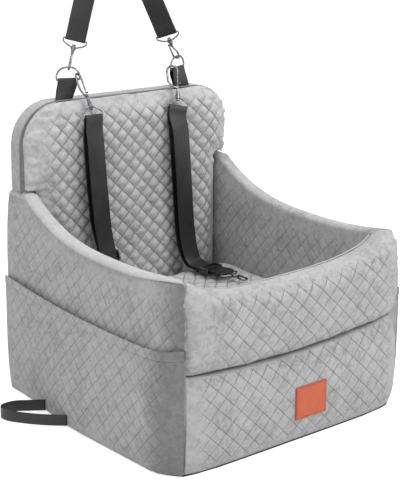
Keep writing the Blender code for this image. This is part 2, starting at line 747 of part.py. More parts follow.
class Snap:
    """One placed snap hook: its frame, hook and gate, and the places that others need."""

    def __init__(self, name, swivel, reach, hook_across, frame_across, size, metal):
        self.size = size
        self.swivel = Vector(swivel)
        self.reach = Vector(reach).normalized()
        self.hook_frame = frame_matrix(self.swivel, hook_across, self.reach)
        self.strap_frame = frame_matrix(self.swivel, frame_across, self.reach)
        self.bar = self.strap_frame @ Vector((0, 0, -size.frame_depth))
        self.bar_across = self.strap_frame.to_3x3() @ Vector((1, 0, 0))
        self.frame = self.make_frame(name, metal)
        self.hook = self.make_hook(name, metal)
        self.gate = self.make_gate(name, metal)

    def make_frame(self, name, metal):
        """The strap frame: a wire loop joined to a boss that the hook's stem turns in."""
        depth = self.size.frame_depth
        neck = BOSS_RADIUS + FRAME_WIRE
        flat = ((0, 0), (neck, -BOSS_HALF / 2), (FRAME_HALF * 0.75, -depth * 0.36),
                (FRAME_HALF, -depth * 0.62), (FRAME_HALF, -depth + FRAME_WIRE),
                (FRAME_HALF - FRAME_WIRE, -depth))
        half = list(flat)
        other = [(-x, z) for x, z in reversed(half[1:])]
        loop = [self.strap_frame @ Vector((x, 0, z)) for x, z in half + other]
        frame = place(name + "_frame", tube(loop, FRAME_WIRE, closed=True), metal)
        ends = [self.strap_frame @ Vector((0, 0, z)) for z in (-BOSS_HALF, BOSS_HALF)]
        boss = helper(name + "_boss", tube(ends, BOSS_RADIUS), metal, frame)
        boolean(frame, boss, "UNION")
        reach = BOSS_HALF + CUT_OVERRUN
        ends = [self.strap_frame @ Vector((0, 0, z)) for z in (-reach, reach)]
        bore = helper(name + "_bore", tube(ends, BOSS_BORE), metal, frame)
        return boolean(frame, bore, "DIFFERENCE")

    def make_hook(self, name, metal):
        """The hook: a riveted head, the stem in the boss, a neck, the spine, the bend and the tip."""
        size = self.size
        wire, half = size.wire, size.half_width
        gap = BOSS_HALF + CLEARANCE
        head = STEM_RADIUS * 2
        middle = self.bend_centre()
        neck = self.neck_height()
        rows = [(0, -gap - head, head), (0, -gap, head), (0, -gap, STEM_RADIUS), (0, gap, STEM_RADIUS),
                (0, gap, BOSS_RADIUS * 0.8), (0, neck - self.drop(), wire * 1.15)]
        if size.claw:
            rows += [(-half * 1.1, neck - self.drop() / 4, wire), (-half * 1.85, neck + half * 0.8, wire)]
        else:
            rows += [(-half * 0.45, neck + half * 0.85, wire), (-half * 0.9, neck + half * 1.8, wire)]
        steps = 8
        for step in range(steps + 1):
            angle = math.pi * (1 - step / steps)
            rows.append((middle.x + half * math.cos(angle), middle.z + half * math.sin(angle), wire))
        rows.append((middle.x + half, self.tip_height(), wire * 0.9))
        points = [self.hook_frame @ Vector((x, 0, z)) for x, z, _ in rows]
        # Two radii at one height make a square step, so each pair is set a hair apart.
        hair = self.reach * (CLEARANCE / 3)
        for index in (2, 4):
            points[index] = points[index] + hair
        hook = place(name + "_hook", tube(points, [radius for _, _, radius in rows]), metal)
        shoulder = block((-wire, -wire * 0.9, neck - self.drop() - SHOULDER_THICKNESS),
                         (middle.x + half + GATE_RADIUS, wire * 0.9, neck))
        shoulder.transform(self.hook_frame)
        return boolean(hook, helper(name + "_shoulder", shoulder, metal, hook), "UNION")

    def bend_centre(self):
        """The middle of the bend: over the stem on a plain hook, and beside it on a claw."""
        return self.size.bend_centre()

    def neck_height(self):
        """Height of the shoulder that the gate hinges on."""
        return SHOULDER_HEIGHT + (CLAW_NECK if self.size.claw else 0.0)

    def drop(self):
        """How far below the shoulder a claw's spine leaves the stem."""
        return CLAW_DROP if self.size.claw else 0.0

    def tip_height(self):
        """How far the hook's tip comes back down from the bend."""
        return self.size.bend_height - self.size.half_width * 1.5

    def gate_pivot(self):
        """The gate's hinge point in the hook's own frame."""
        middle = self.bend_centre()
        return Vector((middle.x + self.size.half_width, 0, self.neck_height() + GATE_RADIUS + CLEARANCE))

    def make_gate(self, name, metal):
        """The sprung gate between the shoulder and the tip, with a thumb trigger where the hook has one."""
        foot = self.gate_pivot()
        top = Vector((foot.x, 0, self.tip_height() - CLEARANCE))
        path = [foot, foot.lerp(top, 0.5), top]
        radii = [GATE_RADIUS] * 3
        if self.size.trigger:
            path.insert(0, foot + Vector((TRIGGER_REACH, 0, TRIGGER_REACH * 0.35)))
            radii.insert(0, GATE_RADIUS * 1.25)
        placed = [self.hook_frame @ point for point in path]
        gate = place(name + "_gate", tube(placed, radii), metal, self.hook_frame @ Matrix.Translation(foot))
        attach(gate, self.hook)
        return gate


def adjuster(name, centre, along, across, behind, metal):
    """A three-bar adjuster: outer bars over the webbing, a middle bar behind it for the sewn end."""
    frame = Matrix((across, along, behind)).transposed().to_4x4()
    frame = Matrix.Translation(centre) @ frame
    half = WEBBING_WIDTH / 2 + ADJUSTER_SLACK
    near = -(WEBBING_THICKNESS / 2 + CLEARANCE)
    deep = adjuster_bar_depth()
    rail_low = near - ADJUSTER_BAR
    rail_high = deep + ADJUSTER_BAR / 2
    pieces = []
    for side in (-1, 1):
        edges = sorted((side * half, side * (half + ADJUSTER_RAIL)))
        pieces.append(block((edges[0], -ADJUSTER_LENGTH / 2, rail_low),
                            (edges[1], ADJUSTER_LENGTH / 2, rail_high)))
    reach = half + ADJUSTER_RAIL / 2
    for end in (-1, 1):
        edges = sorted((end * ADJUSTER_LENGTH / 2 * 0.98, end * (ADJUSTER_LENGTH / 2 - ADJUSTER_BAR)))
        pieces.append(block((-reach, edges[0], rail_low * 0.98), (reach, edges[1], near)))
    pieces.append(block((-reach, -ADJUSTER_BAR / 2, deep - ADJUSTER_BAR / 2),
                        (reach, ADJUSTER_BAR / 2, deep + ADJUSTER_BAR * 0.49)))
    for piece in pieces:
        piece.transform(frame)
    body = place(name, pieces[0], metal)
    for index, piece in enumerate(pieces[1:]):
        boolean(body, helper(f"{name}_bar_{index}", piece, metal, body), "UNION")
    return body


def hem_radius():
    """How far the middle of the sewn end's webbing lies from the middle bar's axis."""
    return ADJUSTER_BAR / math.sqrt(2) + CLEARANCE + WEBBING_THICKNESS / 2


def adjuster_bar_depth():
    """How far the middle bar's axis lies behind the middle of the front ply."""
    return hem_radius() + WEBBING_THICKNESS + CLEARANCE


def hem(centre, along, across, behind, up_length):
    """The sewn end of the webbing: two plies up both sides of the rear ply, folded round the middle bar."""
    bar = centre + behind * adjuster_bar_depth()
    radius = hem_radius()
    front = bar - behind * radius
    back = bar + behind * radius
    path = [front - along * up_length, front - along * up_length / 2, front]
    path += fold(bar, -behind * radius, across, 1)[1:-1]
    path += [back, back - along * up_length / 2, back - along * up_length]
    return ribbon(path, [across] * len(path))


def clear_scene():
    """Empties the scene."""
    for item in list(bpy.data.objects):
        bpy.data.objects.remove(item, do_unlink=True)


def build_box(surfaces):
    """The underside, board, foam, side walls, pockets, front and patch."""
    place("base_sheet", base_sheet(), surfaces["black_cloth"])
    half = CABIN_HALF - CLEARANCE
    front = CABIN_FRONT + CLEARANCE
    board_top = FLOOR_Z + BOARD_THICKNESS
    place("base_board", block((-half, front, FLOOR_Z), (half, CUSHION_REAR, board_top)), surfaces["board"])
    place("base_foam", block((-half, front, board_top + CLEARANCE), (half, CUSHION_REAR, BASE_FOAM_TOP)),
          surfaces["foam"])
    place("seat_cushion", seat_cushion(), surfaces["light"],
          Matrix.Translation((0.0, 0.0, BASE_FOAM_TOP)))
    for side, word in ((-1, "left"), (1, "right")):
        cover = place(f"{word}_side_cover", side_wall(side, 0.0, FLOOR_Z), surfaces["side"])
        inside = side_wall(side, COVER_CLOTH, -CUT_OVERRUN)
        hollow = helper(f"{word}_side_hollow", inside, surfaces["side"], cover)
        boolean(cover, hollow, "DIFFERENCE")
        place(f"{word}_side_foam", side_wall(side, COVER_CLOTH, FLOOR_Z, FOAM_EASE), surfaces["foam"])
        place(f"{word}_pocket", sheet(*pocket_skins(side, 0.0, 0.999, 0.0)), surfaces["side"])
        place(f"{word}_pocket_hem", sheet(*pocket_skins(side, 1.001, 1.5, HEM_EXTRA)), surfaces["side"])
    lower = place("front_lower_cover", front_lower(0.0, FLOOR_Z), surfaces["front"])
    hollow = helper("front_lower_hollow", front_lower(COVER_CLOTH, -CUT_OVERRUN), surfaces["front"], lower)
    boolean(lower, hollow, "DIFFERENCE")
    place("front_lower_foam", front_lower(COVER_CLOTH + CLEARANCE, FLOOR_Z), surfaces["foam"])
    place("front_upper_roll", front_roll(), surfaces["front"])
    stand = -(FRONT_EDGE + FRONT_BOW + FRONT_PUFF + CLEARANCE)
    half = PATCH_WIDTH / 2
    patch = block((PATCH_CENTRE_X - half, stand - PATCH_THICKNESS, PATCH_CENTRE_Z - PATCH_HEIGHT / 2),
                  (PATCH_CENTRE_X + half, stand, PATCH_CENTRE_Z + PATCH_HEIGHT / 2))
    patch = place("leather_patch", patch, surfaces["leather"])
    rounding = patch.modifiers.new("round", "BEVEL")
    rounding.width = PATCH_ROUND
    rounding.segments = 2
    rounding.limit_method = "ANGLE"


def build_back(surfaces):
    """The rear cover, its foam panel and the quilted pad in front."""
    cover = place("back_cover", prism(back_outline(0.0), PAD_BACK_Y + CLEARANCE, REAR_EDGE), surfaces["side"])
    hollow = prism(back_outline(COVER_CLOTH), PAD_BACK_Y - CUT_OVERRUN, REAR_EDGE - COVER_CLOTH)
    boolean(cover, helper("back_hollow", hollow, surfaces["side"], cover), "DIFFERENCE")
    tab_back = TAB_Y + WEBBING_THICKNESS + 2 * CLEARANCE
    for side in (-1, 1):
        half = WEBBING_WIDTH / 2 + TAB_SLOT_EASE
        slot = block((side * TAB_FOOT_X - half, PAD_BACK_Y - CUT_OVERRUN, BACK_HEIGHT - TAB_DEPTH),
                     (side * TAB_FOOT_X + half, tab_back + CLEARANCE, BACK_HEIGHT + BACK_SLUMP + CUT_OVERRUN))
        boolean(cover, helper(f"tab_slot_{side + 1}", slot, surfaces["side"], cover), "DIFFERENCE")
    inset = COVER_CLOTH + CLEARANCE
    foam = prism(back_outline(inset), tab_back + CLEARANCE, REAR_EDGE - inset)
    place("back_foam", foam, surfaces["foam"])
    pad = place("back_pad", back_pad_slab(), surfaces["light"])
    trim = prism(back_outline(CLEARANCE), PAD_BACK_Y - PAD_THICKNESS - CUT_OVERRUN, PAD_BACK_Y + CUT_OVERRUN)
    boolean(pad, helper("pad_trim", trim, surfaces["light"], pad), "INTERSECT")


def ring_place(side):
    """The middle of a ring's straight bar."""
    return Vector((side * RING_X, TAB_Y, back_top(side * RING_X) + TAB_RISE))


def ring_across(side):
    """The direction of a ring's straight bar."""
    turn = LEFT_RING_TURN if side < 0 else RIGHT_RING_TURN
    return Vector((math.cos(turn), math.sin(turn), 0.0))


def ring_top(side, offset):
    """The point on a ring's arc above an offset along its bar."""
    rise = RING_HEIGHT * (1 - abs(offset / RING_HALF) ** RING_POWER) ** (1 / RING_POWER)
    return ring_place(side) + ring_across(side) * offset + Vector((0, 0, rise))


def ring_corner(side):
    """The middle of the round corner of a ring on the side towards the seat's middle."""
    out = RING_CORNER * (1 - 1 / math.sqrt(2))
    return ring_place(side) - ring_across(side) * side * (RING_HALF - out) + Vector((0, 0, out))


def build_rings(surfaces):
    """The webbing tabs sewn into the back's top seam and the D-rings that they hold."""
    for side, word in ((-1, "left"), (1, "right")):
        middle = ring_place(side)
        across = ring_across(side)
        steps = 14
        out = RING_CORNER * (1 - 1 / math.sqrt(2))
        profile = [(RING_HALF - RING_CORNER, 0.0), (RING_HALF - out, out)]
        for step in range(1, steps):
            angle = math.pi * step / steps
            reach = math.copysign(abs(math.cos(angle)) ** (2 / RING_POWER), math.cos(angle))
            profile.append((RING_HALF * reach, RING_HEIGHT * math.sin(angle) ** (2 / RING_POWER)))
        profile += [(out - RING_HALF, out), (RING_CORNER - RING_HALF, 0.0)]
        loop = [middle + across * u + Vector((0, 0, v)) for u, v in profile]
        frame = frame_matrix(middle, across, (0, 0, 1))
        place(f"{word}_d_ring", tube(loop, RING_WIRE, closed=True), surfaces["nickel"], frame)

        foot = Vector((side * TAB_FOOT_X, TAB_Y, BACK_HEIGHT - TAB_DEPTH + CLEARANCE))
        seam = Vector((side * TAB_FOOT_X, TAB_Y, back_top(side * TAB_FOOT_X)))
        spread = RING_WIRE + CLEARANCE + WEBBING_THICKNESS / 2
        close = WEBBING_THICKNESS / 2 + CLEARANCE
        plies = {-1: [], 1: []}
        widths = []
        for share in (0.0, 1.0):
            plies[-1].append(foot.lerp(seam, share) + Vector((0, -close, 0)))
            plies[1].append(foot.lerp(seam, share) + Vector((0, close, 0)))
            widths.append(Vector((1, 0, 0)))
        for share in (0.15, 0.3, 0.45, 0.6, 0.75, 0.9, 1.0):
            wide = Vector((1, 0, 0)).lerp(across, ease(share)).normalized()
            behind = Vector((-wide.y, wide.x, 0))
            reach = close + (spread - close) * ease(share)
            plies[-1].append(seam.lerp(middle, share) - behind * reach)
            plies[1].append(seam.lerp(middle, share) + behind * reach)
            widths.append(wide)
        behind = Vector((-across.y, across.x, 0))
        over = fold(middle, -behind * spread, -across, 1)[1:-1]
        path = plies[-1] + over + plies[1][::-1]
        across_list = widths + [across] * len(over) + widths[::-1]
        place(f"{word}_ring_tab", ribbon(path, across_list, sheared=True), surfaces["webbing"])


def build_carry_strap(surfaces):
    """The strap that goes round the car's headrest: two snap hooks, the webbing and its adjuster."""
    held = Vector((HELD_X, TAB_Y, HELD_Z + HELD_WIDTH))
    hooks = {}
    contacts = []
    for side, word in ((-1, "left"), (1, "right")):
        contact = ring_top(side, -side * CARRY_HOOK_OFFSET)
        contacts.append(contact)
        arm = (held - contact).normalized()
        inner_bend = CARRY_HOOK.bend_height - CARRY_HOOK.wire
        reach = inner_bend - RING_WIRE - 2 * CLEARANCE
        lateral = arm.cross(ring_across(side))
        turned = Vector((math.cos(ARM_TURN), math.sin(ARM_TURN), 0.0))
        hooks[side] = Snap(f"{word}_carry", contact + arm * reach, -arm, lateral, turned, CARRY_HOOK,
                           surfaces["nickel"])

    left, right = hooks[-1], hooks[1]
    up_left = -left.reach
    up_right = -right.reach
    turned = Vector((math.cos(ARM_TURN), math.sin(ARM_TURN), 0.0))
    top_turned = Vector((math.cos(HELD_TURN), math.sin(HELD_TURN), 0.0))
    left_across = squared(turned, up_left)
    right_across = squared(turned, up_right)
    left_behind = up_left.cross(left_across)
    right_behind = up_right.cross(right_across)

    path = [left.bar + left_behind * BAR_FOLD + up_left * CARRY_END_PLY, left.bar + left_behind * BAR_FOLD]
    path += fold(left.bar, left_behind * BAR_FOLD, -left_across, 1)[1:]
    widths = [left_across] * len(path)
    left_foot = path[-1]
    right_foot = right.bar - right_behind * BAR_FOLD
    bend_left = left_foot.lerp(held, HELD_BEND_SHARE)
    bend_right = right_foot.lerp(held, HELD_BEND_SHARE)
    crest = Vector((HELD_X, TAB_Y, HELD_Z))
    knots = [left_foot, left_foot.lerp(held, 0.3), left_foot.lerp(held, 0.6), bend_left, crest,
             bend_right, right_foot.lerp(held, 0.6), right_foot.lerp(held, 0.3), right_foot]
    over = smooth_route(knots, WEBBING_STEP)[1:-1]
    for point in over:
        height = (point.z - left_foot.z) / (HELD_Z - left_foot.z)
        twist = ease((height - TWIST_START_SHARE) / (1 - TWIST_START_SHARE))
        widths.append(turned.lerp(top_turned, twist).normalized())
    path += over
    down = fold(right.bar, -right_behind * BAR_FOLD, right_across, 1)
    path += down
    widths += [right_across] * len(down)
    centre = right_foot.lerp(held, CARRY_ADJUSTER_SHARE)
    up = (held - right_foot).normalized()
    behind = squared(right_behind, up)
    across = up.cross(behind)
    ply_end = centre + behind * adjuster_bar_depth() - up * (ADJUSTER_BAR / 2 + HEM_PLY_LENGTH / 4)
    last = path[-1]
    for share in (0.1, 0.5, 0.9, 1.0):
        path.append(last.lerp(ply_end, share))
        widths.append(right_across)
    strap = place("carry_strap", ribbon(path, widths), surfaces["webbing"])
    slide = adjuster("carry_adjuster", centre, up, across, behind, surfaces["black_metal"])
    end = place("carry_strap_hem", hem(centre, up, across, behind, HEM_PLY_LENGTH), surfaces["webbing"])
    pivot("carry_adjuster_slide", frame_matrix(centre, across, up), [slide, end], strap)
    for snap, word in ((left, "left"), (right, "right")):
        pivot(f"{word}_carry_swivel", snap.hook_frame, [snap.hook], snap.frame)
    swing = frame_matrix(contacts[0], contacts[1] - contacts[0], (0, 0, 1))
    pivot("carry_strap_swing", swing, [strap, left.frame, right.frame])


def tether_plies(route, bar, bar_across):
    """The front and rear plies of a doubled stretch that starts round a bar and ends at an adjuster."""
    hang = squared(Vector(route[0]) - bar, bar_across) * WEBBING_STEP
    middle = smooth_route([bar, bar + hang] + [Vector(point) for point in route], WEBBING_STEP)
    ways = directions(middle)
    total = sum((b - a).length for a, b in zip(middle, middle[1:]))
    front, rear, widths, travelled = [], [], [], 0.0
    for index, (point, way) in enumerate(zip(middle, ways)):
        if index:
            travelled += (point - middle[index - 1]).length
        wide = bar_across.lerp(squared(Vector((1, 0, 0)), way), ease(travelled / BAR_EASE)).normalized()
        behind = wide.cross(way).normalized()
        start = 2 * BAR_FOLD + (TETHER_GAP - 2 * BAR_FOLD) * ease(travelled / TETHER_EASE)
        left_over = (total - travelled - HEM_PLY_LENGTH) / TETHER_EASE
        finish = adjuster_bar_depth() + (TETHER_GAP - adjuster_bar_depth()) * ease(left_over)
        gap = min(start, finish)
        front.append(point - behind * gap / 2)
        rear.append(point + behind * gap / 2)
        widths.append(wide)
    return front, rear, widths, ways[-1]


def build_tether(word, side, lean, gate_turn, frame_turn, in_bend, double_route, single_route, lower_bar,
                 surfaces):
    """One tether: its top hook on the ring, the doubled webbing, the adjuster and the lower hook."""
    contact = ring_corner(side)
    lean = Vector(lean).normalized()
    gate_side = squared(Vector((math.cos(gate_turn), math.sin(gate_turn), 0.0)), lean)
    middle = TETHER_HOOK.bend_centre()
    swivel = contact - gate_side * (middle.x + in_bend[0]) - lean * (middle.z + in_bend[1])
    right = Vector((1, 0, 0))
    turned = Vector((math.cos(frame_turn), math.sin(frame_turn), 0.0))
    top = Snap(f"{word}_tether_top", swivel, lean, gate_side, turned, TETHER_HOOK, surfaces["nickel"])
    front, rear, widths, way = tether_plies(double_route, top.bar, top.bar_across)
    start = (rear[0] - top.bar).normalized() * BAR_FOLD
    over = fold(top.bar, start, top.bar_across)
    centre = front[-1]
    wide = squared(right, way)
    behind = wide.cross(way)
    rear_end = centre + behind * adjuster_bar_depth() - way * (ADJUSTER_BAR / 2 + HEM_PLY_LENGTH / 4)
    kept = [index for index, point in enumerate(rear) if (point - rear_end).dot(way) < -WEBBING_THICKNESS]
    path = [rear_end] + [rear[index] for index in reversed(kept)]
    across = [wide] + [widths[index] for index in reversed(kept)]
    path += over[1:-1] + front[:-1]
    across += [top.bar_across] * len(over[1:-1]) + widths[:-1]

    lower_centre = Vector((*lower_bar, LOWER_AXIS_Z))
    heading = lower_centre - Vector(single_route[-1])
    heading.z = 0
    heading.normalize()
    lower = Snap(f"{word}_tether_lower", lower_centre + heading * LOWER_HOOK.frame_depth, heading,
                 right, right, LOWER_HOOK, surfaces["nickel"])
    upper = Vector((0, 0, BAR_FOLD))
    single = smooth_route([centre] + [Vector(point) for point in single_route] + [lower.bar + upper],
                          WEBBING_STEP / 2)[:-1]
    path += single
    for point in single:
        near = ease(1 - (point - lower.bar).length / BAR_EASE)
        across.append(wide.lerp(lower.bar_across, near))
    around = fold(lower.bar, upper, lower.bar_across)
    path += around + [around[-1] - heading * LOWER_END_PLY]
    across += [lower.bar_across] * (len(around) + 1)
    webbing = place(f"{word}_tether_webbing", ribbon(path, across, sheared=True), surfaces["webbing"])
    slide = adjuster(f"{word}_tether_adjuster", centre, way, wide, behind, surfaces["black_metal"])
    end = place(f"{word}_tether_hem", hem(centre, way, wide, behind, HEM_PLY_LENGTH), surfaces["webbing"])
    pivot(f"{word}_tether_adjuster_slide", frame_matrix(centre, wide, way), [slide, end], webbing)
    pivot(f"{word}_tether_swing", frame_matrix(contact, right, (0, 0, 1)), [top.hook])
    pivot(f"{word}_tether_swivel", top.hook_frame, [top.frame, webbing, lower.frame], top.hook)
    pivot(f"{word}_tether_lower_swivel", lower.hook_frame, [lower.hook], lower.frame)


def build_side_loop(surfaces):
    """The webbing loop that stands on edge beside the left wall, sewn into its bottom seam."""
    middle = LOOP_FLOOR + LOOP_WIDTH / 2
    ends = []
    for y in (LOOP_REAR_END, LOOP_FRONT_END):
        along = (y + FRONT_EDGE) / (REAR_EDGE + FRONT_EDGE)
        face = wall_x(along, wall_height_share(y, LOOP_FLOOR + LOOP_WIDTH)) + POCKET_CLOTH
        face += pocket_stand(along, LOOP_WIDTH / POCKET_LOW_Z)
        ends.append((-face - LOOP_END_EASE, y))
    places = [ends[0], *LOOP_ROUTE, ends[1]]
    route = smooth_route([(x, y, middle) for x, y in places], LOOP_STEP)
    mesh = ribbon(route, [Vector((0, 0, 1))] * len(route), LOOP_WIDTH)
    place("side_strap_loop", mesh, surfaces["webbing"])


def main():
    """Builds the whole seat."""
    clear_scene()
    surfaces = {
        "side": material("grey_side_cloth", GREY_SIDE, 0.9),
        "front": material("grey_front_cloth", GREY_FRONT, 0.9),
        "light": material("grey_light_cloth", GREY_LIGHT, 0.9),
        "black_cloth": material("black_grip_cloth", BLACK_WEBBING, 0.85),
        "webbing": material("black_webbing", BLACK_WEBBING, 0.55),
        "nickel": material("nickel_plate", NICKEL, 0.22, 1.0),
        "black_metal": material("black_painted_metal", BLACK_METAL, 0.35, 0.0),
        "leather": material("tan_leather", TAN_LEATHER, 0.55),
        "foam": material("foam", FOAM, 0.95),
        "board": material("board", BOARD, 0.8),
    }
    build_box(surfaces)
    build_back(surfaces)
    build_rings(surfaces)
    build_carry_strap(surfaces)
    build_tether("left", -1, LEFT_TETHER_LEAN, LEFT_GATE_TURN, LEFT_FRAME_TURN, LEFT_HOOK_IN_BEND,
                 LEFT_DOUBLE_ROUTE, LEFT_SINGLE_ROUTE, LEFT_LOWER_BAR, surfaces)
    build_tether("right", 1, RIGHT_TETHER_LEAN, RIGHT_GATE_TURN, RIGHT_FRAME_TURN, RIGHT_HOOK_IN_BEND,
                 RIGHT_DOUBLE_ROUTE, RIGHT_SINGLE_ROUTE, RIGHT_LOWER_BAR, surfaces)
    build_side_loop(surfaces)


main()
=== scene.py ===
"""Dog car seat in quilted velvet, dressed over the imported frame.

Metres, +Z up, the seat's front faces -Y and its underside lies on the floor.
"""

import logging
import math
from collections.abc import Callable, Sequence
from dataclasses import dataclass, field
from enum import Enum
from typing import Any

import bmesh
import bpy
import numpy as np
from bpy.types import Material, Mesh, NodeSocket, NodeTree, Object
from mathutils import Matrix, Vector, noise

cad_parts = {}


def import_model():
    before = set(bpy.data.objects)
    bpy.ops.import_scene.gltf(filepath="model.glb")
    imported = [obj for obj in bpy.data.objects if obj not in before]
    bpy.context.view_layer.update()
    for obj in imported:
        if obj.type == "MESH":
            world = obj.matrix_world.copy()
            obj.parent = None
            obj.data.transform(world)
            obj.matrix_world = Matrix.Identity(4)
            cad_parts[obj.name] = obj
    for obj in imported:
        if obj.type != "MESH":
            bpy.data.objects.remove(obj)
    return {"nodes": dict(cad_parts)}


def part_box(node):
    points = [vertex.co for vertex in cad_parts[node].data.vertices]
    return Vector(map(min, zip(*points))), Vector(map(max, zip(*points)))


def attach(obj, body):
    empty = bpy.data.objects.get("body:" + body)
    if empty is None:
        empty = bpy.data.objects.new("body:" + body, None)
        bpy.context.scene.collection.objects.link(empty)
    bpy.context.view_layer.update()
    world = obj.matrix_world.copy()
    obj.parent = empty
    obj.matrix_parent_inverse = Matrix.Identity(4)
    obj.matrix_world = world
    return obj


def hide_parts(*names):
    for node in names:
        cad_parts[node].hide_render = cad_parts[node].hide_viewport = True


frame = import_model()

log = logging.getLogger("dog_car_seat")

CLOTH_UV = "cloth"
QUILTED = "quilted"
# The attribute that marks where painted shade darkens the cloth beside the front seam.
PAINTED_SEAM_SHADE = "seam_shade"
SMOOTH = "SMOOTHSTEP"
CLEARANCE = 0.0003
WELD = CLEARANCE / 20
MM = 0.001

Point = tuple[float, float, float]
Route = Sequence[tuple[Point, ...]]
Place = Callable[[np.ndarray, np.ndarray], np.ndarray]

# The webbing's routes, as in the part's source, in millimetres. Each row is a run of points
# along the middle of the webbing, after the direction of its width, which they share.
LEFT_TAB_ROUTE: Route = (
    ((1, 0, 0), (-141, 226.1, 518.3), (-141, 226.1, 559.5)),
    ((0.98, -0.22, 0), (-136.9, 225.4, 575.9)),
    ((0.9, -0.43, 0), (-134.6, 224.8, 586.9)),
    ((0.87, -0.5, 0), (-132.4, 224.7, 596), (-132.3, 224.9, 597.1), (-132, 225.4, 598),
     (-131.6, 226.2, 598.7), (-131, 227.2, 598.9), (-130.4, 228.2, 598.7), (-130, 229, 598),
     (-129.7, 229.5, 597.1), (-129.6, 229.7, 596)),
    ((0.98, -0.22, 0), (-136.1, 229, 575.9)),
    ((1, 0, 0), (-141, 228.3, 559.5), (-141, 228.3, 518.3)),
)

RIGHT_TAB_ROUTE: Route = (
    ((1, 0, 0), (141, 226.1, 518.3), (141, 226.1, 544.5)),
    ((0.98, 0.22, 0), (134.1, 224.7, 572.6)),
    ((0.97, 0.26, 0), (131.8, 224.4, 582), (131.7, 224.6, 583.1), (131.5, 225.2, 584),
     (131.3, 226.1, 584.7), (131, 227.2, 584.9), (130.7, 228.3, 584.7), (130.5, 229.2, 584),
     (130.3, 229.8, 583.1), (130.2, 230, 582)),
    ((1, 0.02, 0), (139.5, 228.4, 550.1)),
    ((1, 0, 0), (141, 228.3, 544.5), (141, 228.3, 518.3)),
)

CARRY_ROUTE: Route = (
    ((0.72, -0.66, -0.22), (-106.7, 228.2, 686.6), (-111.9, 228.2, 669.4), (-112.3, 228, 668.4),
     (-113, 227.6, 667.7), (-113.7, 226.9, 667.3), (-114.4, 226.1, 667.3), (-115, 225.4, 667.7),
     (-115.4, 224.7, 668.4), (-115.5, 224.3, 669.4), (-115.3, 224.1, 670.4), (-103.3, 224.6, 709),
     (-91.2, 225.1, 747.7), (-79.2, 225.5, 786.3)),
    ((0.71, -0.68, -0.21), (-67.1, 226, 825)),
    ((0.49, -0.86, -0.14), (-58.5, 226.3, 853.5)),
    ((0.3, -0.95, -0.08), (-54.1, 226.5, 868.2)),
    ((0.04, -1, 0), (-46.1, 226.8, 893.6)),
    ((0.02, -1, 0.02), (-43, 226.9, 902.2)),
    ((0, -1, 0), (-35, 227.2, 906)),
    ((-0.01, -1, 0.01), (-21.2, 226.9, 900.4)),
    ((0.24, -0.96, 0.12), (-5.3, 226.7, 870.2)),
    ((0.54, -0.8, 0.27), (7.7, 226.4, 843.4)),
    ((0.65, -0.68, 0.33), (20.3, 226.2, 817.5), (38.1, 225.9, 781.9), (55.9, 225.5, 746.4),
     (73.7, 225.2, 710.9), (91.4, 224.9, 675.3)),
    ((0.65, -0.69, 0.33), (103.3, 224.7, 651.6), (103.9, 224.8, 650.8), (104.6, 225.2, 650.2),
     (105.4, 225.9, 649.9), (106.2, 226.6, 650.1), (106.7, 227.4, 650.6), (107, 228, 651.4),
     (106.9, 228.5, 652.3), (106.6, 228.6, 653.3), (100.7, 228.7, 665.1), (77, 229, 712.1),
     (53.4, 229.3, 759.1), (47.4, 229.4, 770.9)),
)

CARRY_HEM_ROUTE: Route = (
    ((-0.65, 0.69, -0.33), (53, 227, 755.1), (42.2, 227.2, 776.6), (41.9, 227.4, 777.7),
     (41.8, 227.9, 778.8), (42.1, 228.6, 779.7), (42.8, 229.5, 780.3), (43.6, 230.3, 780.4),
     (44.5, 231.1, 780.1), (45.4, 231.5, 779.4), (46, 231.7, 778.4), (56.8, 231.5, 757)),
)

LEFT_TETHER_ROUTE: Route = (
    ((0.99, 0.03, 0.13), (-91.5, 164.1, 262.6)),
    ((0.99, 0.03, 0.12), (-95.7, 171.8, 293.3)),
    ((1, 0, 0.09), (-99.4, 180.3, 329.8)),
    ((1, 0, 0.08), (-102.8, 182, 370.4)),
    ((1, 0, 0.06), (-105, 183, 399.8)),
    ((1, 0, 0.05), (-106.8, 184.1, 431.3), (-108.4, 185.2, 464)),
    ((1, 0, 0.02), (-109.5, 185.1, 489.9)),
    ((1, -0.02, -0.04), (-109.3, 182.4, 518.5)),
    ((1, -0.03, -0.04), (-108.7, 181.6, 533.5), (-108.7, 181, 534.4), (-108.7, 180.1, 535),
     (-108.7, 179.1, 535.2), (-108.8, 178.1, 535), (-108.8, 177.2, 534.4), (-108.9, 176.6, 533.5),
     (-108.9, 176.4, 532.5)),
    ((1, -0.01, -0.02), (-109.8, 175.1, 509)),
    ((1, 0, 0.04), (-109, 171.8, 478.6)),
    ((1, 0, 0.05), (-107.7, 170.7, 448.5)),
    ((1, 0, 0.06), (-105.9, 169.5, 415.4)),
    ((1, 0, 0.07), (-104, 168.5, 385.7)),
    ((1, 0, 0.08), (-101.6, 167.6, 356.2)),
    ((1, 0.01, 0.09), (-98.5, 167, 320.6)),
    ((0.99, 0.03, 0.13), (-94.1, 163.7, 282.8), (-89.5, 156.3, 248.7), (-85.4, 149.2, 217.8),
     (-84.6, 145.5, 212), (-84.1, 141.8, 208.1), (-83.6, 137, 205.8), (-82.9, 131.7, 204.4)),
    ((1, 0.04, 0.03), (-80.7, 93.7, 203.4)),
    ((1, 0.05, 0), (-80, 78, 203.4), (-80, 77, 203.2), (-79.9, 76.1, 202.6), (-79.9, 75.5, 201.7),
     (-79.9, 75.3, 200.7), (-79.9, 75.5, 199.7), (-79.9, 76.1, 198.8), (-80, 77, 198.2),
     (-80, 78, 198), (-80.5, 90, 198)),
)

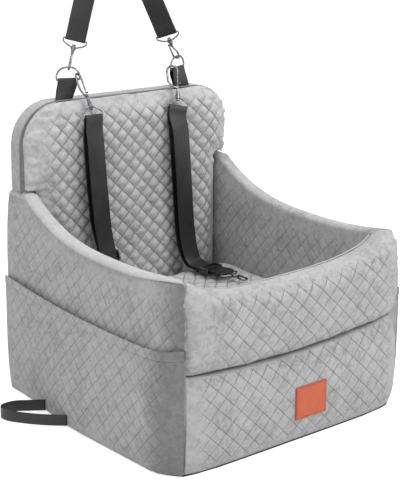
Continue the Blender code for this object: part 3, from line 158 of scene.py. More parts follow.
LEFT_HEM_ROUTE: Route = (
    ((0.99, 0.03, 0.13), (-93.7, 164.8, 279.3), (-90.5, 159.4, 256.1), (-90.3, 159.4, 254.9),
     (-90.2, 159.8, 253.8), (-90.1, 160.6, 253), (-90.1, 161.7, 252.5), (-90.1, 162.9, 252.4),
     (-90.2, 164.1, 252.8), (-90.3, 164.9, 253.7), (-90.5, 165.4, 254.7), (-93.7, 170.8, 277.9)),
)

RIGHT_TETHER_ROUTE: Route = (
    ((0.99, 0.12, 0), (127.1, 125.3, 196)),
    ((0.98, 0.2, 0.04), (124.5, 144.5, 196.5)),
    ((0.97, 0.2, 0.14), (120, 163.1, 201.4)),
    ((0.98, 0.07, 0.16), (117.5, 172, 213.1)),
    ((0.99, 0.04, 0.15), (115, 178.4, 228.4)),
    ((0.99, 0, 0.1), (110, 183, 269.7)),
    ((1, 0, 0.07), (107.1, 183.5, 305.2), (104.2, 183.5, 344.4)),
    ((1, 0, 0.08), (101.1, 183.5, 386.3)),
    ((1, 0, 0.09), (98.8, 183.4, 414), (96.2, 183.2, 443.5)),
    ((1, -0.03, 0.05), (93.2, 182.3, 479.6)),
    ((0.95, -0.24, -0.21), (92.4, 183.7, 504.6)),
    ((0.93, -0.29, -0.22), (96.2, 183.9, 519.4), (96.2, 183.4, 520.3), (96.1, 182.6, 521),
     (95.9, 181.7, 521.3), (95.6, 180.7, 521.3), (95.2, 179.8, 520.8), (94.8, 179.2, 520)),
    ((0.95, -0.24, -0.21), (91.1, 177.3, 505.7)),
    ((1, -0.03, 0.05), (92.8, 170.7, 480.4)),
    ((1, 0, 0.09), (96.2, 169.2, 443.4), (98.8, 169.4, 413.9)),
    ((1, 0, 0.07), (102.2, 169.5, 372.2), (105.1, 169.5, 331.6)),
    ((1, 0, 0.08), (108.1, 169.5, 292.5)),
    ((0.99, 0.01, 0.12), (111.6, 168.2, 255.9)),
    ((0.98, 0.07, 0.16), (117.5, 162.6, 217.1)),
    ((0.97, 0.2, 0.14), (120, 158.9, 207.6)),
    ((0.98, 0.2, 0.04), (124.5, 143.5, 201.5)),
    ((0.99, 0.12, 0), (128.5, 111.5, 201.1)),
    ((1, 0.08, 0), (131.5, 74, 203.4), (131.6, 73, 203.2), (131.7, 72.1, 202.6),
     (131.7, 71.5, 201.7), (131.7, 71.3, 200.7), (131.7, 71.5, 199.7), (131.7, 72.1, 198.8),
     (131.6, 73, 198.2), (131.5, 74, 198), (130.6, 86, 198)),
)

RIGHT_HEM_ROUTE: Route = (
    ((0.99, 0.12, 0), (125, 141.8, 199), (128, 118, 199.1), (128.2, 116.8, 198.9),
     (128.3, 115.8, 198.2), (128.3, 115.2, 197.2), (128.4, 114.9, 196), (128.3, 115.2, 194.8),
     (128.3, 115.8, 193.8), (128.2, 116.8, 193.2), (128, 118, 192.9), (125, 141.8, 192.8)),
)

SIDE_LOOP_ROUTE: Route = (
    ((0, 0, 1), (-269.8, 124, 14.5), (-296.5, 142.6, 14.5), (-318, 156, 14.5),
     (-327.7, 157.8, 14.5), (-337.4, 157.7, 14.5), (-345, 156, 14.5), (-351.6, 150.5, 14.5),
     (-354, 142, 14.5), (-353.5, 135.2, 14.5), (-338.2, 104, 14.5), (-322, 82, 14.5),
     (-303.5, 61.5, 14.5), (-280.8, 41, 14.5)),
)


class Side(Enum):
    """Which side of the seat a piece is on, for someone who looks at its front."""

    LEFT = -1
    RIGHT = 1

    @property
    def word(self) -> str:
        """The side's name, as it stands in the nodes' names."""
        return self.name.lower()


def ease(share: Any) -> Any:
    """A smooth step from 0 to 1, for a number or an array."""
    held = np.clip(share, 0.0, 1.0)
    return held * held * (3 - 2 * held)


def plateau(share: Any, power: float = 4.0) -> Any:
    """0 at both ends of a span and near 1 over its middle."""
    return 1 - abs(2 * np.clip(share, 0.0, 1.0) - 1) ** power


def spaced(count: int) -> list[float]:
    """Shares from 0 to 1 in equal steps."""
    return [step / count for step in range(count + 1)]


@dataclass(frozen=True)
class Fade:
    """A smooth change from 0 to 1 that begins at a value and takes a run, downwards if that is below 0."""

    start: float
    run: float

    def __call__(self, value: Any) -> Any:
        """How far the change has come at a value."""
        return ease((value - self.start) / self.run)


# Finishes


def linear(colour: str) -> tuple[float, float, float, float]:
    """Turns an sRGB hex colour to the linear colour that a shader takes.

    Args:
        colour: Six hex digits after a hash sign.

    Returns:
        Red, green, blue and alpha.
    """
    parts = [int(colour[index : index + 2], 16) / 255 for index in (1, 3, 5)]
    parts = [part / 12.92 if part <= 0.04045 else ((part + 0.055) / 1.055) ** 2.4 for part in parts]
    return (parts[0], parts[1], parts[2], 1.0)


def add_node(tree: NodeTree, kind: str, *values: Any, output: str = "", **named: Any) -> NodeSocket:
    """Adds a node with its settings, and links or sets its inputs.

    Args:
        tree: The material's or the world's tree.
        kind: The node's type name, without its prefix.
        values: For the first inputs in order, a socket to link or a value to set.
        output: The output that is wanted, or none for the first that is in use.
        named: A name with a capital is an input, for a socket or a value. Any other name is a
            property of the node.

    Returns:
        The output.
    """
    made = tree.nodes.new("ShaderNode" + kind)
    for name, value in named.items():
        if name[0].islower():
            setattr(made, name, value)
    fed = list(zip(made.inputs, values))
    for name, value in named.items():
        if name[0].isupper():
            label = name.replace("_", " ")
            fed.append((next(one for one in made.inputs if one.enabled and one.name == label), value))
    for socket, value in fed:
        if isinstance(value, NodeSocket):
            tree.links.new(value, socket)
        else:
            socket.default_value = value
    return made.outputs[output] if output else next(one for one in made.outputs if one.enabled)


class Recipe:
    """A material in the making: its tree, its shader and the object's own coordinates."""

    def __init__(self, name: str, **constants: Any) -> None:
        """Starts a material.

        Args:
            name: The material's name.
            constants: The shader's inputs by name, and their values.
        """
        self.material: Material = bpy.data.materials.new(name)
        self.material.use_nodes = True
        self.tree: NodeTree = self.material.node_tree
        self.shader = self.tree.nodes["Principled BSDF"]
        for key, value in constants.items():
            self.shader.inputs[key.replace("_", " ")].default_value = value
        self.place = self.add("TexCoord", output="Object")

    def add(self, kind: str, *values: Any, output: str = "", **named: Any) -> NodeSocket:
        """Adds a node to the material, as add_node does."""
        return add_node(self.tree, kind, *values, output=output, **named)

    def finish(self, colour: NodeSocket, height_mm: NodeSocket | None = None, strength: float = 1.0) -> Material:
        """Links the colour and the relief to the shader.

        Args:
            colour: The surface's colour.
            height_mm: How high it stands, in millimetres, or none.
            strength: How much of that shows.

        Returns:
            The material.
        """
        self.tree.links.new(colour, self.shader.inputs["Base Color"])
        if height_mm is not None:
            relief = self.add("Bump", Height=height_mm, Distance=MM, Strength=strength)
            self.tree.links.new(relief, self.shader.inputs["Normal"])
        return self.material


@dataclass(frozen=True)
class Diamond:
    """The diamonds of a quilted cloth, from the photograph: width and height of one."""

    width: float
    height: float

    @property
    def slope(self) -> float:
        """How fast a line's own coordinate grows square to it, per metre."""
        return math.hypot(1 / self.width, 1 / self.height)


SIDE_DIAMOND = Diamond(0.0290, 0.0320)
FRONT_DIAMOND = Diamond(0.0340, 0.0330)
PAD_DIAMOND = Diamond(0.0310, 0.0310)


@dataclass(frozen=True)
class Velvet:
    """Sheared polyester velvet, knitted, its pile raised by brushing, and lock-stitched in diamonds where it is
    quilted.

    The pile lies in patches that turn the light one way or the other, so the grey is mottled, and
    it shines softly at its edges; the stitches pull narrow grooves into it, with painted shade in them.
    """

    name: str
    shade: str
    tint: str
    quilt: Diamond | None = None
    # How far painted shade darkens the cloth beside the front seam.
    border: float = 0.0
    mark: float = 1.0
    stroke_mm: float = 14.0
    patch_mm: float = 60.0
    nap_mm: float = 1.1
    stitch: float = 0.0036
    groove: float = 0.0010
    line_edge: float = 0.0002
    thread_core: float = 0.0004
    thread_edge: float = 0.0008
    line_shade: float = 0.66

    def build(self) -> Material:
        """Makes the finish.

        Returns:
            The material.
        """
        recipe = Recipe(self.name, Roughness=0.88, Sheen_Weight=0.28, Sheen_Roughness=0.45)
        add = recipe.add
        # Pile that lies in strokes and in patches, and a nap drawn coarser than the real
        # 0.3 mm pile so that it shows.
        strokes = add("TexNoise", Vector=recipe.place, Scale=1 / (self.stroke_mm * MM), Detail=4.0, Distortion=1.4)
        patches = add("TexNoise", Vector=recipe.place, Scale=1 / (self.patch_mm * MM))
        nap = add("TexNoise", Vector=recipe.place, Scale=1 / (self.nap_mm * MM))
        tone: Any = 0.0
        for pattern, share in ((strokes, 0.50), (patches, 0.25), (nap, 0.25)):
            tone = add("Math", pattern, share, tone, operation="MULTIPLY_ADD")
        tone = add("MapRange", tone, 0.30, 0.70, interpolation_type=SMOOTH)
        height = add("Math", nap, 0.22, operation="MULTIPLY")
        low = self.shade
        if self.quilt:
            line, thread = self.lines(recipe)
            # Painted shade: beside the front seam the colour is darker and less mottled, and down in the stitched
            # lines it is darker still.
            seam_shade = add("Attribute", output="Fac", attribute_name=PAINTED_SEAM_SHADE)
            for share, calm, drop in ((seam_shade, -0.6, -self.border), (line, -0.6 * self.mark, -0.30 * self.mark)):
                kept = add("Math", share, calm, 1.0, operation="MULTIPLY_ADD")
                tone = add("Math", tone, kept, operation="MULTIPLY")
                tone = add("Math", share, drop, tone, operation="MULTIPLY_ADD")
            tone = add("Math", thread, -0.42 * self.mark, tone, operation="MULTIPLY_ADD")
            height = add("Math", line, -0.6, height, operation="MULTIPLY_ADD")
            height = add("Math", thread, -0.3, height, operation="MULTIPLY_ADD")
            tone = add("MapRange", tone, -0.9, 1.0, interpolation_type=SMOOTH)
            low = self.darker()
        colour = add("Mix", data_type="RGBA", Factor=tone, A=linear(low), B=linear(self.tint))
        return recipe.finish(colour, height, 0.9)

    def darker(self) -> str:
        """The colour down in a stitched line, in the pile's own shadow."""
        parts = [int(self.shade[index : index + 2], 16) for index in (1, 3, 5)]
        return "#" + "".join(f"{round(part * self.line_shade):02x}" for part in parts)

    def lines(self, recipe: Recipe) -> tuple[NodeSocket, NodeSocket]:
        """The stitched lines and the threads in them, from the cloth's own coordinates.

        Args:
            recipe: The material in the making.

        Returns:
            How far a point lies in a line, and in a thread, from 0 to 1.
        """
        add = recipe.add
        parts = add("SeparateXYZ", add("UVMap", uv_map=CLOTH_UV)).node.outputs
        across = add("Math", parts[0], self.quilt.width, operation="DIVIDE")
        upward = add("Math", parts[1], self.quilt.height, operation="DIVIDE")
        rising = add("Math", across, upward, operation="ADD")
        falling = add("Math", across, upward, operation="SUBTRACT")
        off_rising = add("Math", rising, 0.5, operation="PINGPONG")
        off_falling = add("Math", falling, 0.5, operation="PINGPONG")
        nearest = add("Math", off_rising, off_falling, operation="MINIMUM")
        nearest = add("Math", nearest, self.quilt.slope, operation="DIVIDE")
        held = add("Attribute", output="Fac", attribute_name=QUILTED)
        line = add("MapRange", nearest, self.line_edge, self.groove, 1.0, 0.0, interpolation_type=SMOOTH)
        line = add("Math", line, held, operation="MULTIPLY")
        # A line of one family is crossed by the other, so that one's coordinate runs along it.
        choice = add("Math", off_rising, off_falling, operation="LESS_THAN")
        other = add("Math", 1.0, choice, operation="SUBTRACT")
        along = add("Math", choice, falling, operation="MULTIPLY")
        along = add("Math", other, rising, along, operation="MULTIPLY_ADD")
        along = add("Math", along, round(2 / self.quilt.slope / self.stitch), operation="MULTIPLY")
        dash = add("Math", along, 0.5, operation="PINGPONG")
        dash = add("MapRange", dash, 0.08, 0.2, interpolation_type=SMOOTH)
        core = add("MapRange", nearest, self.thread_core, self.thread_edge, 1.0, 0.0, interpolation_type=SMOOTH)
        thread = add("Math", core, dash, operation="MULTIPLY")
        return line, add("Math", thread, held, operation="MULTIPLY")


@dataclass(frozen=True)
class Webbing:
    """Woven polypropylene webbing with a ribbed face, which gives soft lengthwise lines and a dull shine; the lines
    are painted darker between the ribs as shade, and paler streaks of painted sheen run along it.
    """

    name: str = "polypropylene_webbing_woven"
    shade: str = "#0d0d0e"
    tint: str = "#2a2a2d"
    rib: float = 0.0026
    pick: float = 0.0018

    def build(self) -> Material:
        """Makes the finish.

        Returns:
            The material.
        """
        recipe = Recipe(self.name, Roughness=0.37, Sheen_Weight=0.03, Sheen_Roughness=0.4)
        add = recipe.add
        parts = add("SeparateXYZ", add("UVMap", uv_map=CLOTH_UV)).node.outputs
        ribs = add("Math", parts[1], self.rib, operation="DIVIDE")
        picks = add("Math", parts[0], self.pick, operation="DIVIDE")
        # Every other rib is woven half a pick further on.
        shift = add("Math", ribs, operation="FLOOR")
        picks = add("Math", shift, 0.5, picks, operation="MULTIPLY_ADD")
        # Painted shade: the weave is darker between its raised ribs and picks.
        weave: Any = 0.0
        for coordinate, share in ((ribs, 0.6), (picks, 0.4)):
            raised = add("Math", coordinate, 0.5, operation="PINGPONG")
            raised = add("MapRange", raised, 0.0, 0.4, interpolation_type=SMOOTH)
            weave = add("Math", raised, share, weave, operation="MULTIPLY_ADD")
        # Long paler streaks of painted sheen, at random along the webbing.
        painted_sheen: Any = 0.0
        for size_mm, detail, share in ((14, 3.0, 0.3), (75, 1.0, 0.7)):
            streaks = add("TexNoise", Vector=recipe.place, Scale=1 / (size_mm * MM), Detail=detail)
            painted_sheen = add("Math", streaks, share, painted_sheen, operation="MULTIPLY_ADD")
        painted_sheen = add("MapRange", painted_sheen, 0.40, 0.62, 0.12, 1.0, interpolation_type=SMOOTH)
        tone = add("Math", weave, painted_sheen, operation="MULTIPLY")
        colour = add("Mix", data_type="RGBA", Factor=tone, A=linear(self.shade), B=linear(self.tint))
        return recipe.finish(colour, add("Math", weave, 0.28, operation="MULTIPLY"))


@dataclass(frozen=True)
class GripCloth:
    """Black polyester canvas with printed PVC dots, which grip the car's seat."""

    name: str = "polyester_canvas_dotted"
    dot_mm: float = 6.0
    weave_mm: float = 0.9

    def build(self) -> Material:
        """Makes the finish.

        Returns:
            The material.
        """
        recipe = Recipe(self.name, Roughness=0.8)
        add = recipe.add
        dots = add("TexVoronoi", feature="F1", Vector=recipe.place, Scale=1 / (self.dot_mm * MM), Randomness=0.0)
        dot = add("MapRange", dots, 0.2, 0.3, 1.0, 0.0, interpolation_type=SMOOTH)
        colour = add("Mix", data_type="RGBA", Factor=dot, A=linear("#232325"), B=linear("#101011"))
        weave = add("TexNoise", Vector=recipe.place, Scale=1 / (self.weave_mm * MM), Detail=1.0)
        raised = add("Math", dot, 0.4, operation="MULTIPLY")
        return recipe.finish(colour, add("Math", weave, 0.1, raised, operation="MULTIPLY_ADD"))


@dataclass(frozen=True)
class Plate:
    """Die-cast zinc with bright nickel plate, tumbled before plating, so its shine is a little soft; its grey is
    painted darker, as painted dark reflections.
    """

    name: str = "zinc_nickel_plated"
    cloud_mm: float = 4.0
    gloss_mm: float = 1.5

    def build(self) -> Material:
        """Makes the finish.

        Returns:
            The material.
        """
        # Painted reflection: the colour and the edge tint are darker than bright nickel, as painted dark reflections.
        recipe = Recipe(self.name, Metallic=1.0, Specular_Tint=linear("#6f7073"))
        add = recipe.add
        cloud = add("TexNoise", Vector=recipe.place, Scale=1 / (self.cloud_mm * MM), Detail=3.0)
        tone = add("MapRange", cloud, 0.35, 0.7, interpolation_type=SMOOTH)
        colour = add("Mix", data_type="RGBA", Factor=tone, A=linear("#626366"), B=linear("#97989b"))
        gloss = add("TexNoise", Vector=recipe.place, Scale=1 / (self.gloss_mm * MM))
        gloss = add("MapRange", gloss, 0.3, 0.7, 0.13, 0.26, interpolation_type=SMOOTH)
        recipe.tree.links.new(gloss, recipe.shader.inputs["Roughness"])
        return recipe.finish(colour, add("Math", cloud, 0.06, operation="MULTIPLY"))


@dataclass(frozen=True)
class Painted:
    """Pressed steel with black electro-coat, with a painted highlight in a paler line along its edges."""

    name: str = "steel_black_coated"
    highlight_patch_mm: float = 3.0
    gloss_mm: float = 1.2
    peel_mm: float = 0.8

    def build(self) -> Material:
        """Makes the finish.

        Returns:
            The material.
        """
        recipe = Recipe(self.name, Specular_IOR_Level=0.5)
        add = recipe.add
        # Painted highlight: paler along the sharp edges, in patches.
        edge = add("NewGeometry", output="Pointiness")
        edge = add("MapRange", edge, 0.53, 0.62, interpolation_type=SMOOTH)
        highlight_patches = add("TexNoise", Vector=recipe.place, Scale=1 / (self.highlight_patch_mm * MM), Detail=3.0)
        highlight_patches = add("MapRange", highlight_patches, 0.35, 0.6, interpolation_type=SMOOTH)
        edge_highlight = add("Math", edge, highlight_patches, operation="MULTIPLY")
        colour = add("Mix", data_type="RGBA", Factor=edge_highlight, A=linear("#19191b"), B=linear("#6d6d70"))
        gloss = add("TexNoise", Vector=recipe.place, Scale=1 / (self.gloss_mm * MM))
        gloss = add("MapRange", gloss, 0.3, 0.7, 0.24, 0.4, interpolation_type=SMOOTH)
        recipe.tree.links.new(gloss, recipe.shader.inputs["Roughness"])
        peel = add("TexNoise", Vector=recipe.place, Scale=1 / (self.peel_mm * MM))
        return recipe.finish(colour, add("Math", peel, 0.02, operation="MULTIPLY"))


@dataclass(frozen=True)
class Leather:
    """Split cowhide, dyed and pressed with a fine grain, darker where its cut edges were burnished."""

    name: str = "cowhide_dyed_pressed"
    shade: str = "#b04e2f"
    tint: str = "#d26a48"
    centre: tuple[float, float] = (0.029, 0.0775)
    half: tuple[float, float] = (0.0375, 0.0315)
    burnished: float = 0.0022
    crease_inset: float = 0.0036
    crease_half: tuple[float, float] = (0.0002, 0.0007)
    grain_mm: float = 1.1
    cloud_mm: float = 12.0

    def build(self) -> Material:
        """Makes the finish.

        Returns:
            The material.
        """
        recipe = Recipe(self.name, Roughness=0.56, Specular_IOR_Level=0.4)
        add = recipe.add
        parts = add("SeparateXYZ", recipe.place).node.outputs
        margins = []
        for part, centre, half in zip((parts[0], parts[2]), self.centre, self.half):
            away = add("Math", part, centre, operation="SUBTRACT")
            away = add("Math", away, operation="ABSOLUTE")
            margins.append(add("Math", half, away, operation="SUBTRACT"))
        inward = add("Math", *margins, operation="MINIMUM")
        burnish = add("MapRange", inward, 0.0, self.burnished, 1.0, 0.0, interpolation_type=SMOOTH)
        crease = add("Math", inward, self.crease_inset, operation="SUBTRACT")
        crease = add("Math", crease, operation="ABSOLUTE")
        crease = add("MapRange", crease, *self.crease_half, 1.0, 0.0, interpolation_type=SMOOTH)
        scale = 1 / (self.grain_mm * MM)
        grain = add("TexVoronoi", feature="DISTANCE_TO_EDGE", Vector=recipe.place, Scale=scale)
        grain = add("MapRange", grain, 0.0, 0.25, interpolation_type=SMOOTH)
        cloud = add("TexNoise", Vector=recipe.place, Scale=1 / (self.cloud_mm * MM), Detail=4.0)
        tone: Any = 0.0
        for pattern, share in ((cloud, 0.65), (grain, 0.35), (crease, -0.5), (burnish, -0.7)):
            tone = add("Math", pattern, share, tone, operation="MULTIPLY_ADD")
        tone = add("MapRange", tone, -0.3, 0.75, interpolation_type=SMOOTH)
        colour = add("Mix", data_type="RGBA", Factor=tone, A=linear(self.shade), B=linear(self.tint))
        height = add("Math", grain, 0.06, operation="MULTIPLY")
        return recipe.finish(colour, add("Math", crease, -0.3, height, operation="MULTIPLY_ADD"))


@dataclass(frozen=True)
class Mottled:
    """A matt material with one pattern of small clouds, which set its colour and its relief."""

    name: str
    shade: str
    tint: str
    roughness: float
    cloud_mm: float
    detail: float = 2.0
    twist: float = 0.0
    relief: float = 0.0
    sheen: float = 0.0

    def build(self) -> Material:
        """Makes the finish.

        Returns:
            The material.
        """
        recipe = Recipe(self.name, Roughness=self.roughness, Sheen_Weight=self.sheen)
        scale = 1 / (self.cloud_mm * MM)
        cloud = recipe.add("TexNoise", Vector=recipe.place, Scale=scale, Detail=self.detail, Distortion=self.twist)
        colour = recipe.add("Mix", data_type="RGBA", Factor=cloud, A=linear(self.shade), B=linear(self.tint))
        height = recipe.add("Math", cloud, self.relief, operation="MULTIPLY") if self.relief else None
        return recipe.finish(colour, height)


class Wardrobe:
    """All the finishes of the seat, each made once."""

    def __init__(self) -> None:
        """Makes the materials."""
        # The same velvet is given three greys, so that each face matches how brightly it is lit: painted light and
        # shade, palest on the pad and cushion.
        self.side = Velvet("polyester_velvet_side_quilted", "#989899", "#bebebf", SIDE_DIAMOND, 0.45, 0.6).build()
        self.front = Velvet("polyester_velvet_front_quilted", "#919192", "#bfbfc0", FRONT_DIAMOND, 0.0, 0.85).build()
        self.pad = Velvet("polyester_velvet_pad_quilted_painted_light", "#9e9e9f", "#cacacb", PAD_DIAMOND).build()
        # The binding is the same velvet, paler as painted light where it faces up.
        self.binding = Velvet("polyester_velvet_binding_painted_light", "#b7b7b8", "#cfcfd0").build()
        self.webbing = Webbing().build()
        self.grip = GripCloth().build()
        self.plate = Plate().build()
        self.painted = Painted().build()
        self.leather = Leather().build()
        # Open-cell foam, cut from a block, is matt and finely pitted; hardboard is pressed from
        # fibres, with flecks; bonded thread is twisted, with a faint shine.
        self.foam = Mottled("polyurethane_foam_cut", "#c9bd98", "#ece4c6", 0.95, 1.4, 3.0, relief=0.6).build()
        self.board = Mottled("hardboard_pressed", "#6b5f50", "#988b78", 0.7, 2.2, 5.0, 2.0, 0.1).build()
        self.grey_thread = Mottled("polyester_thread_grey", "#7b7b7d", "#9a9a9c", 0.6, 0.8, sheen=0.2).build()
        self.tan_thread = Mottled("polyester_thread_tan", "#a44a2c", "#c86a48", 0.6, 0.8, sheen=0.2).build()


# Making and dressing meshes


def wrapped(sections: Sequence[Sequence[Vector]]) -> bmesh.types.BMesh:
    """A closed form through sections of equally many points, made from a grid.

    Args:
        sections: The points round the form, for each place along it.

    Returns:
        The form, capped at both ends, with its faces outwards.
    """
    around = len(sections[0])
    shape = bmesh.new()
    shape.loops.layers.uv.new(CLOTH_UV)
    bmesh.ops.create_grid(shape, x_segments=len(sections) - 1, y_segments=around, size=0.5, calc_uvs=True)
    for vert in shape.verts:
        row = round((vert.co.x + 0.5) * (len(sections) - 1))
        vert.co = sections[row][round((vert.co.y + 0.5) * around) % around]
    bmesh.ops.remove_doubles(shape, verts=shape.verts, dist=WELD)
    bmesh.ops.holes_fill(shape, edges=[edge for edge in shape.edges if edge.is_boundary], sides=0)
    bmesh.ops.recalc_face_normals(shape, faces=shape.faces)
    return shape


def sheet(rows: int, columns: int, place: Callable[[float, float], Vector], thickness: float) -> bmesh.types.BMesh:
    """A thin layer of cloth: a grid laid by a function, then given its thickness.

    Args:
        rows: Faces along the first direction.
        columns: Faces along the second.
        place: Where the cloth lies at two shares.
        thickness: The cloth's thickness.

    Returns:
        The closed layer.
    """
    shape = bmesh.new()
    shape.loops.layers.uv.new(CLOTH_UV)
    bmesh.ops.create_grid(shape, x_segments=rows, y_segments=columns, size=0.5, calc_uvs=True)
    for vert in shape.verts:
        vert.co = place(vert.co.x + 0.5, vert.co.y + 0.5)
    bmesh.ops.recalc_face_normals(shape, faces=shape.faces)
    bmesh.ops.solidify(shape, geom=shape.faces[:], thickness=thickness)
    bmesh.ops.recalc_face_normals(shape, faces=shape.faces)
    return shape


def round_edges(
    shape: bmesh.types.BMesh, edges: list[bmesh.types.BMEdge], radius: float, segments: int, clamp: bool = True
) -> None:
    """Bevels some edges of a shape.

    Args:
        shape: The shape.
        edges: Its edges to round.
        radius: How far the rounding reaches.
        segments: Faces across it.
        clamp: Whether it stops where it meets another.
    """
    bmesh.ops.bevel(shape, geom=edges, offset=radius, segments=segments, profile=0.5, affect="EDGES",
                    material=-1, clamp_overlap=clamp)


def slab(outline: Sequence[tuple[float, float]], near: float, far: float, rounding: float) -> bmesh.types.BMesh:
    """An outline of (x, z) points extruded along Y, with its long edges rounded.

    Args:
        outline: The points in order.
        near: Where the front face lies.
        far: Where the rear face lies.
        rounding: The radius of the front and rear edges.

    Returns:
        The closed slab.
    """
    shape = bmesh.new()
    face = shape.faces.new([shape.verts.new((x, near, z)) for x, z in outline])
    pushed = bmesh.ops.extrude_face_region(shape, geom=[face])
    moved = [item for item in pushed["geom"] if isinstance(item, bmesh.types.BMVert)]
    bmesh.ops.translate(shape, verts=moved, vec=(0.0, far - near, 0.0))
    bmesh.ops.recalc_face_normals(shape, faces=shape.faces)
    rims = [edge for edge in shape.edges if abs(edge.verts[0].co.y - edge.verts[1].co.y) < CLEARANCE]
    round_edges(shape, rims, rounding, 4)
    return shape


def squared(across: Vector, along: Vector) -> Vector:
    """The part of a direction that is square to another, at unit length."""
    return (across - along * across.dot(along)).normalized()


def cord_tube(path: Sequence[Vector], radius: float, sides: int = 8) -> bmesh.types.BMesh:
    """A round cord along a path.

    Args:
        path: The points that it follows.
        radius: The cord's radius.
        sides: Faces round it.

    Returns:
        The closed cord.
    """
    turns = [2 * math.pi * share for share in spaced(sides)[:-1]]
    sections = []
    first = Vector()
    for index, point in enumerate(path):
        along = (path[min(index + 1, len(path) - 1)] - path[max(index - 1, 0)]).normalized()
        first = squared(first, along) if sections else along.orthogonal().normalized()
        second = along.cross(first)
        sections.append([point + (first * math.cos(turn) + second * math.sin(turn)) * radius for turn in turns])
    return wrapped(sections)


def as_mesh(shape: bmesh.types.BMesh, name: str) -> Mesh:
    """Turns a bmesh to a mesh and frees it.

    Args:
        shape: The bmesh.
        name: The mesh's name.

    Returns:
        The mesh.
    """
    made = bpy.data.meshes.new(name)
    shape.to_mesh(made)
    shape.free()
    return made


def add_piece(name: str, mesh: Mesh, surface: Material, slot: str, body: str, *nodes: str) -> Object:
    """Puts a finished mesh into the scene as a piece.

    Args:
        name: The piece's name.
        mesh: Its mesh, in the seat's own coordinates.
        surface: Its material.
        slot: The record's slot that the finish comes from; not used.
        body: The body that it moves with.
        nodes: The nodes that it stands for.

    Returns:
        The piece.
    """
    mesh.name = name
    mesh.materials.clear()
    mesh.materials.append(surface)
    mesh.shade_smooth()
    made = bpy.data.objects.new(name, mesh)
    bpy.context.scene.collection.objects.link(made)
    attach(made, body)
    if nodes:
        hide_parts(*nodes)
    return made


def points_of(mesh: Mesh, what: str = "co") -> np.ndarray:
    """The places of a mesh's vertices, or their normals.

    Args:
        mesh: The mesh.
        what: "co" for their places or "normal".

    Returns:
        One row for each vertex.
    """
    found = np.empty(len(mesh.vertices) * 3)
    mesh.vertices.foreach_get(what, found)
    return found.reshape(-1, 3)


def set_points(mesh: Mesh, points: np.ndarray) -> None:
    """Writes the mesh's vertices back."""
    mesh.vertices.foreach_set("co", points.reshape(-1))
    mesh.update()


def modified(made: Object, kind: str, **settings: Any) -> None:
    """Adds a modifier, and makes its result the piece's mesh.

    Args:
        made: The piece.
        kind: The modifier's type name.
        settings: Values of its properties.
    """
    step = made.modifiers.new(kind.lower(), kind)
    for name, value in settings.items():
        setattr(step, name, value)
    graph = bpy.context.evaluated_depsgraph_get()
    mesh = bpy.data.meshes.new_from_object(made.evaluated_get(graph))
    made.modifiers.remove(step)
    old, name = made.data, made.data.name
    made.data = mesh
    bpy.data.meshes.remove(old)
    mesh.name = name


@dataclass(frozen=True)
class Stuffing:
    """How a pad is filled: the remeshed cell, the pressure and how far its cloth may swell."""

    swell: float
    voxel: float = 0.005
    pressure: float = 4.0
    stiffness: float = 15.0
    frames: int = 20

    def fill(self, made: Object) -> None:
        """Swells the pad as stuffed cloth does, and leaves a finer mesh.

        Args:
            made: The pad, which starts a little smaller than it ends.
        """
        modified(made, "REMESH", mode="VOXEL", voxel_size=self.voxel)
        modified(made, "SMOOTH", iterations=3, factor=0.5)
        start = points_of(made.data)
        cloth = made.modifiers.new("cloth", "CLOTH")
        cloth.settings.quality = 5
        cloth.settings.mass = 0.3
        cloth.settings.tension_stiffness = self.stiffness
        cloth.settings.compression_stiffness = self.stiffness
        cloth.settings.bending_stiffness = 1.0
        cloth.settings.use_pressure = True
        cloth.settings.uniform_pressure_force = self.pressure
        cloth.settings.effector_weights.gravity = 0.0
        cloth.point_cache.frame_start = 1
        cloth.point_cache.frame_end = self.frames
        scene = bpy.context.scene
        for step in range(1, self.frames + 1):
            scene.frame_set(step)
        graph = bpy.context.evaluated_depsgraph_get()
        swollen = bpy.data.meshes.new_from_object(made.evaluated_get(graph))
        moved = points_of(swollen) - start
        bpy.data.meshes.remove(swollen)
        made.modifiers.remove(cloth)
        scene.frame_set(1)
        reach = np.linalg.norm(moved, axis=1, keepdims=True)
        moved *= np.minimum(1.0, self.swell / np.maximum(reach, CLEARANCE / 100))
        set_points(made.data, start + moved)
        modified(made, "SUBSURF", levels=1, render_levels=1)


def stretch_to(made: Object, low: Sequence[float], high: Sequence[float]) -> None:
    """Stretches a stuffed piece back to the size that its cover was cut for, since the pressure draws it in.

    Args:
        made: The piece.
        low: The lowest corner of that size.
        high: The highest.
    """
    points = points_of(made.data)
    least, most = points.min(axis=0), points.max(axis=0)
    share = (points - least) / (most - least)
    set_points(made.data, np.array(low) + share * (np.array(high) - np.array(low)))


def record(mesh: Mesh, name: str, share: np.ndarray) -> None:
    """Writes one value for each vertex, which a material reads by its name."""
    mesh.attributes.new(name, "FLOAT", "POINT").data.foreach_set("value", share.astype(np.float32))


@dataclass(frozen=True)
class Quilting:
    """Stitched lines sunk below the puffs between them.

    cell holds the diamonds, axes the two axes that the pattern is laid along, depth how deep the
    lines lie, and held how firmly they hold at each point, from its place and normal.
    """

    cell: Diamond
    axes: tuple[int, int]
    depth: float
    held: Place
    dome_power: float = 2.0

    def press(self, made: Object) -> None:
        """Sinks the lines, and records where they are.

        Args:
            made: The piece.
        """
        points, normals = points_of(made.data), points_of(made.data, "normal")
        across = points[:, self.axes[0]] / self.cell.width
        upward = points[:, self.axes[1]] / self.cell.height
        dome = np.ones(len(points))
        for line in (across + upward, across - upward):
            off = 2 * np.abs(line - np.round(line))
            dome *= 1 - (1 - off) ** self.dome_power
        share = np.clip(self.held(points, normals), 0.0, 1.0)
        set_points(made.data, points + normals * (self.depth * (dome - 1) * share)[:, None])
        record(made.data, QUILTED, share)


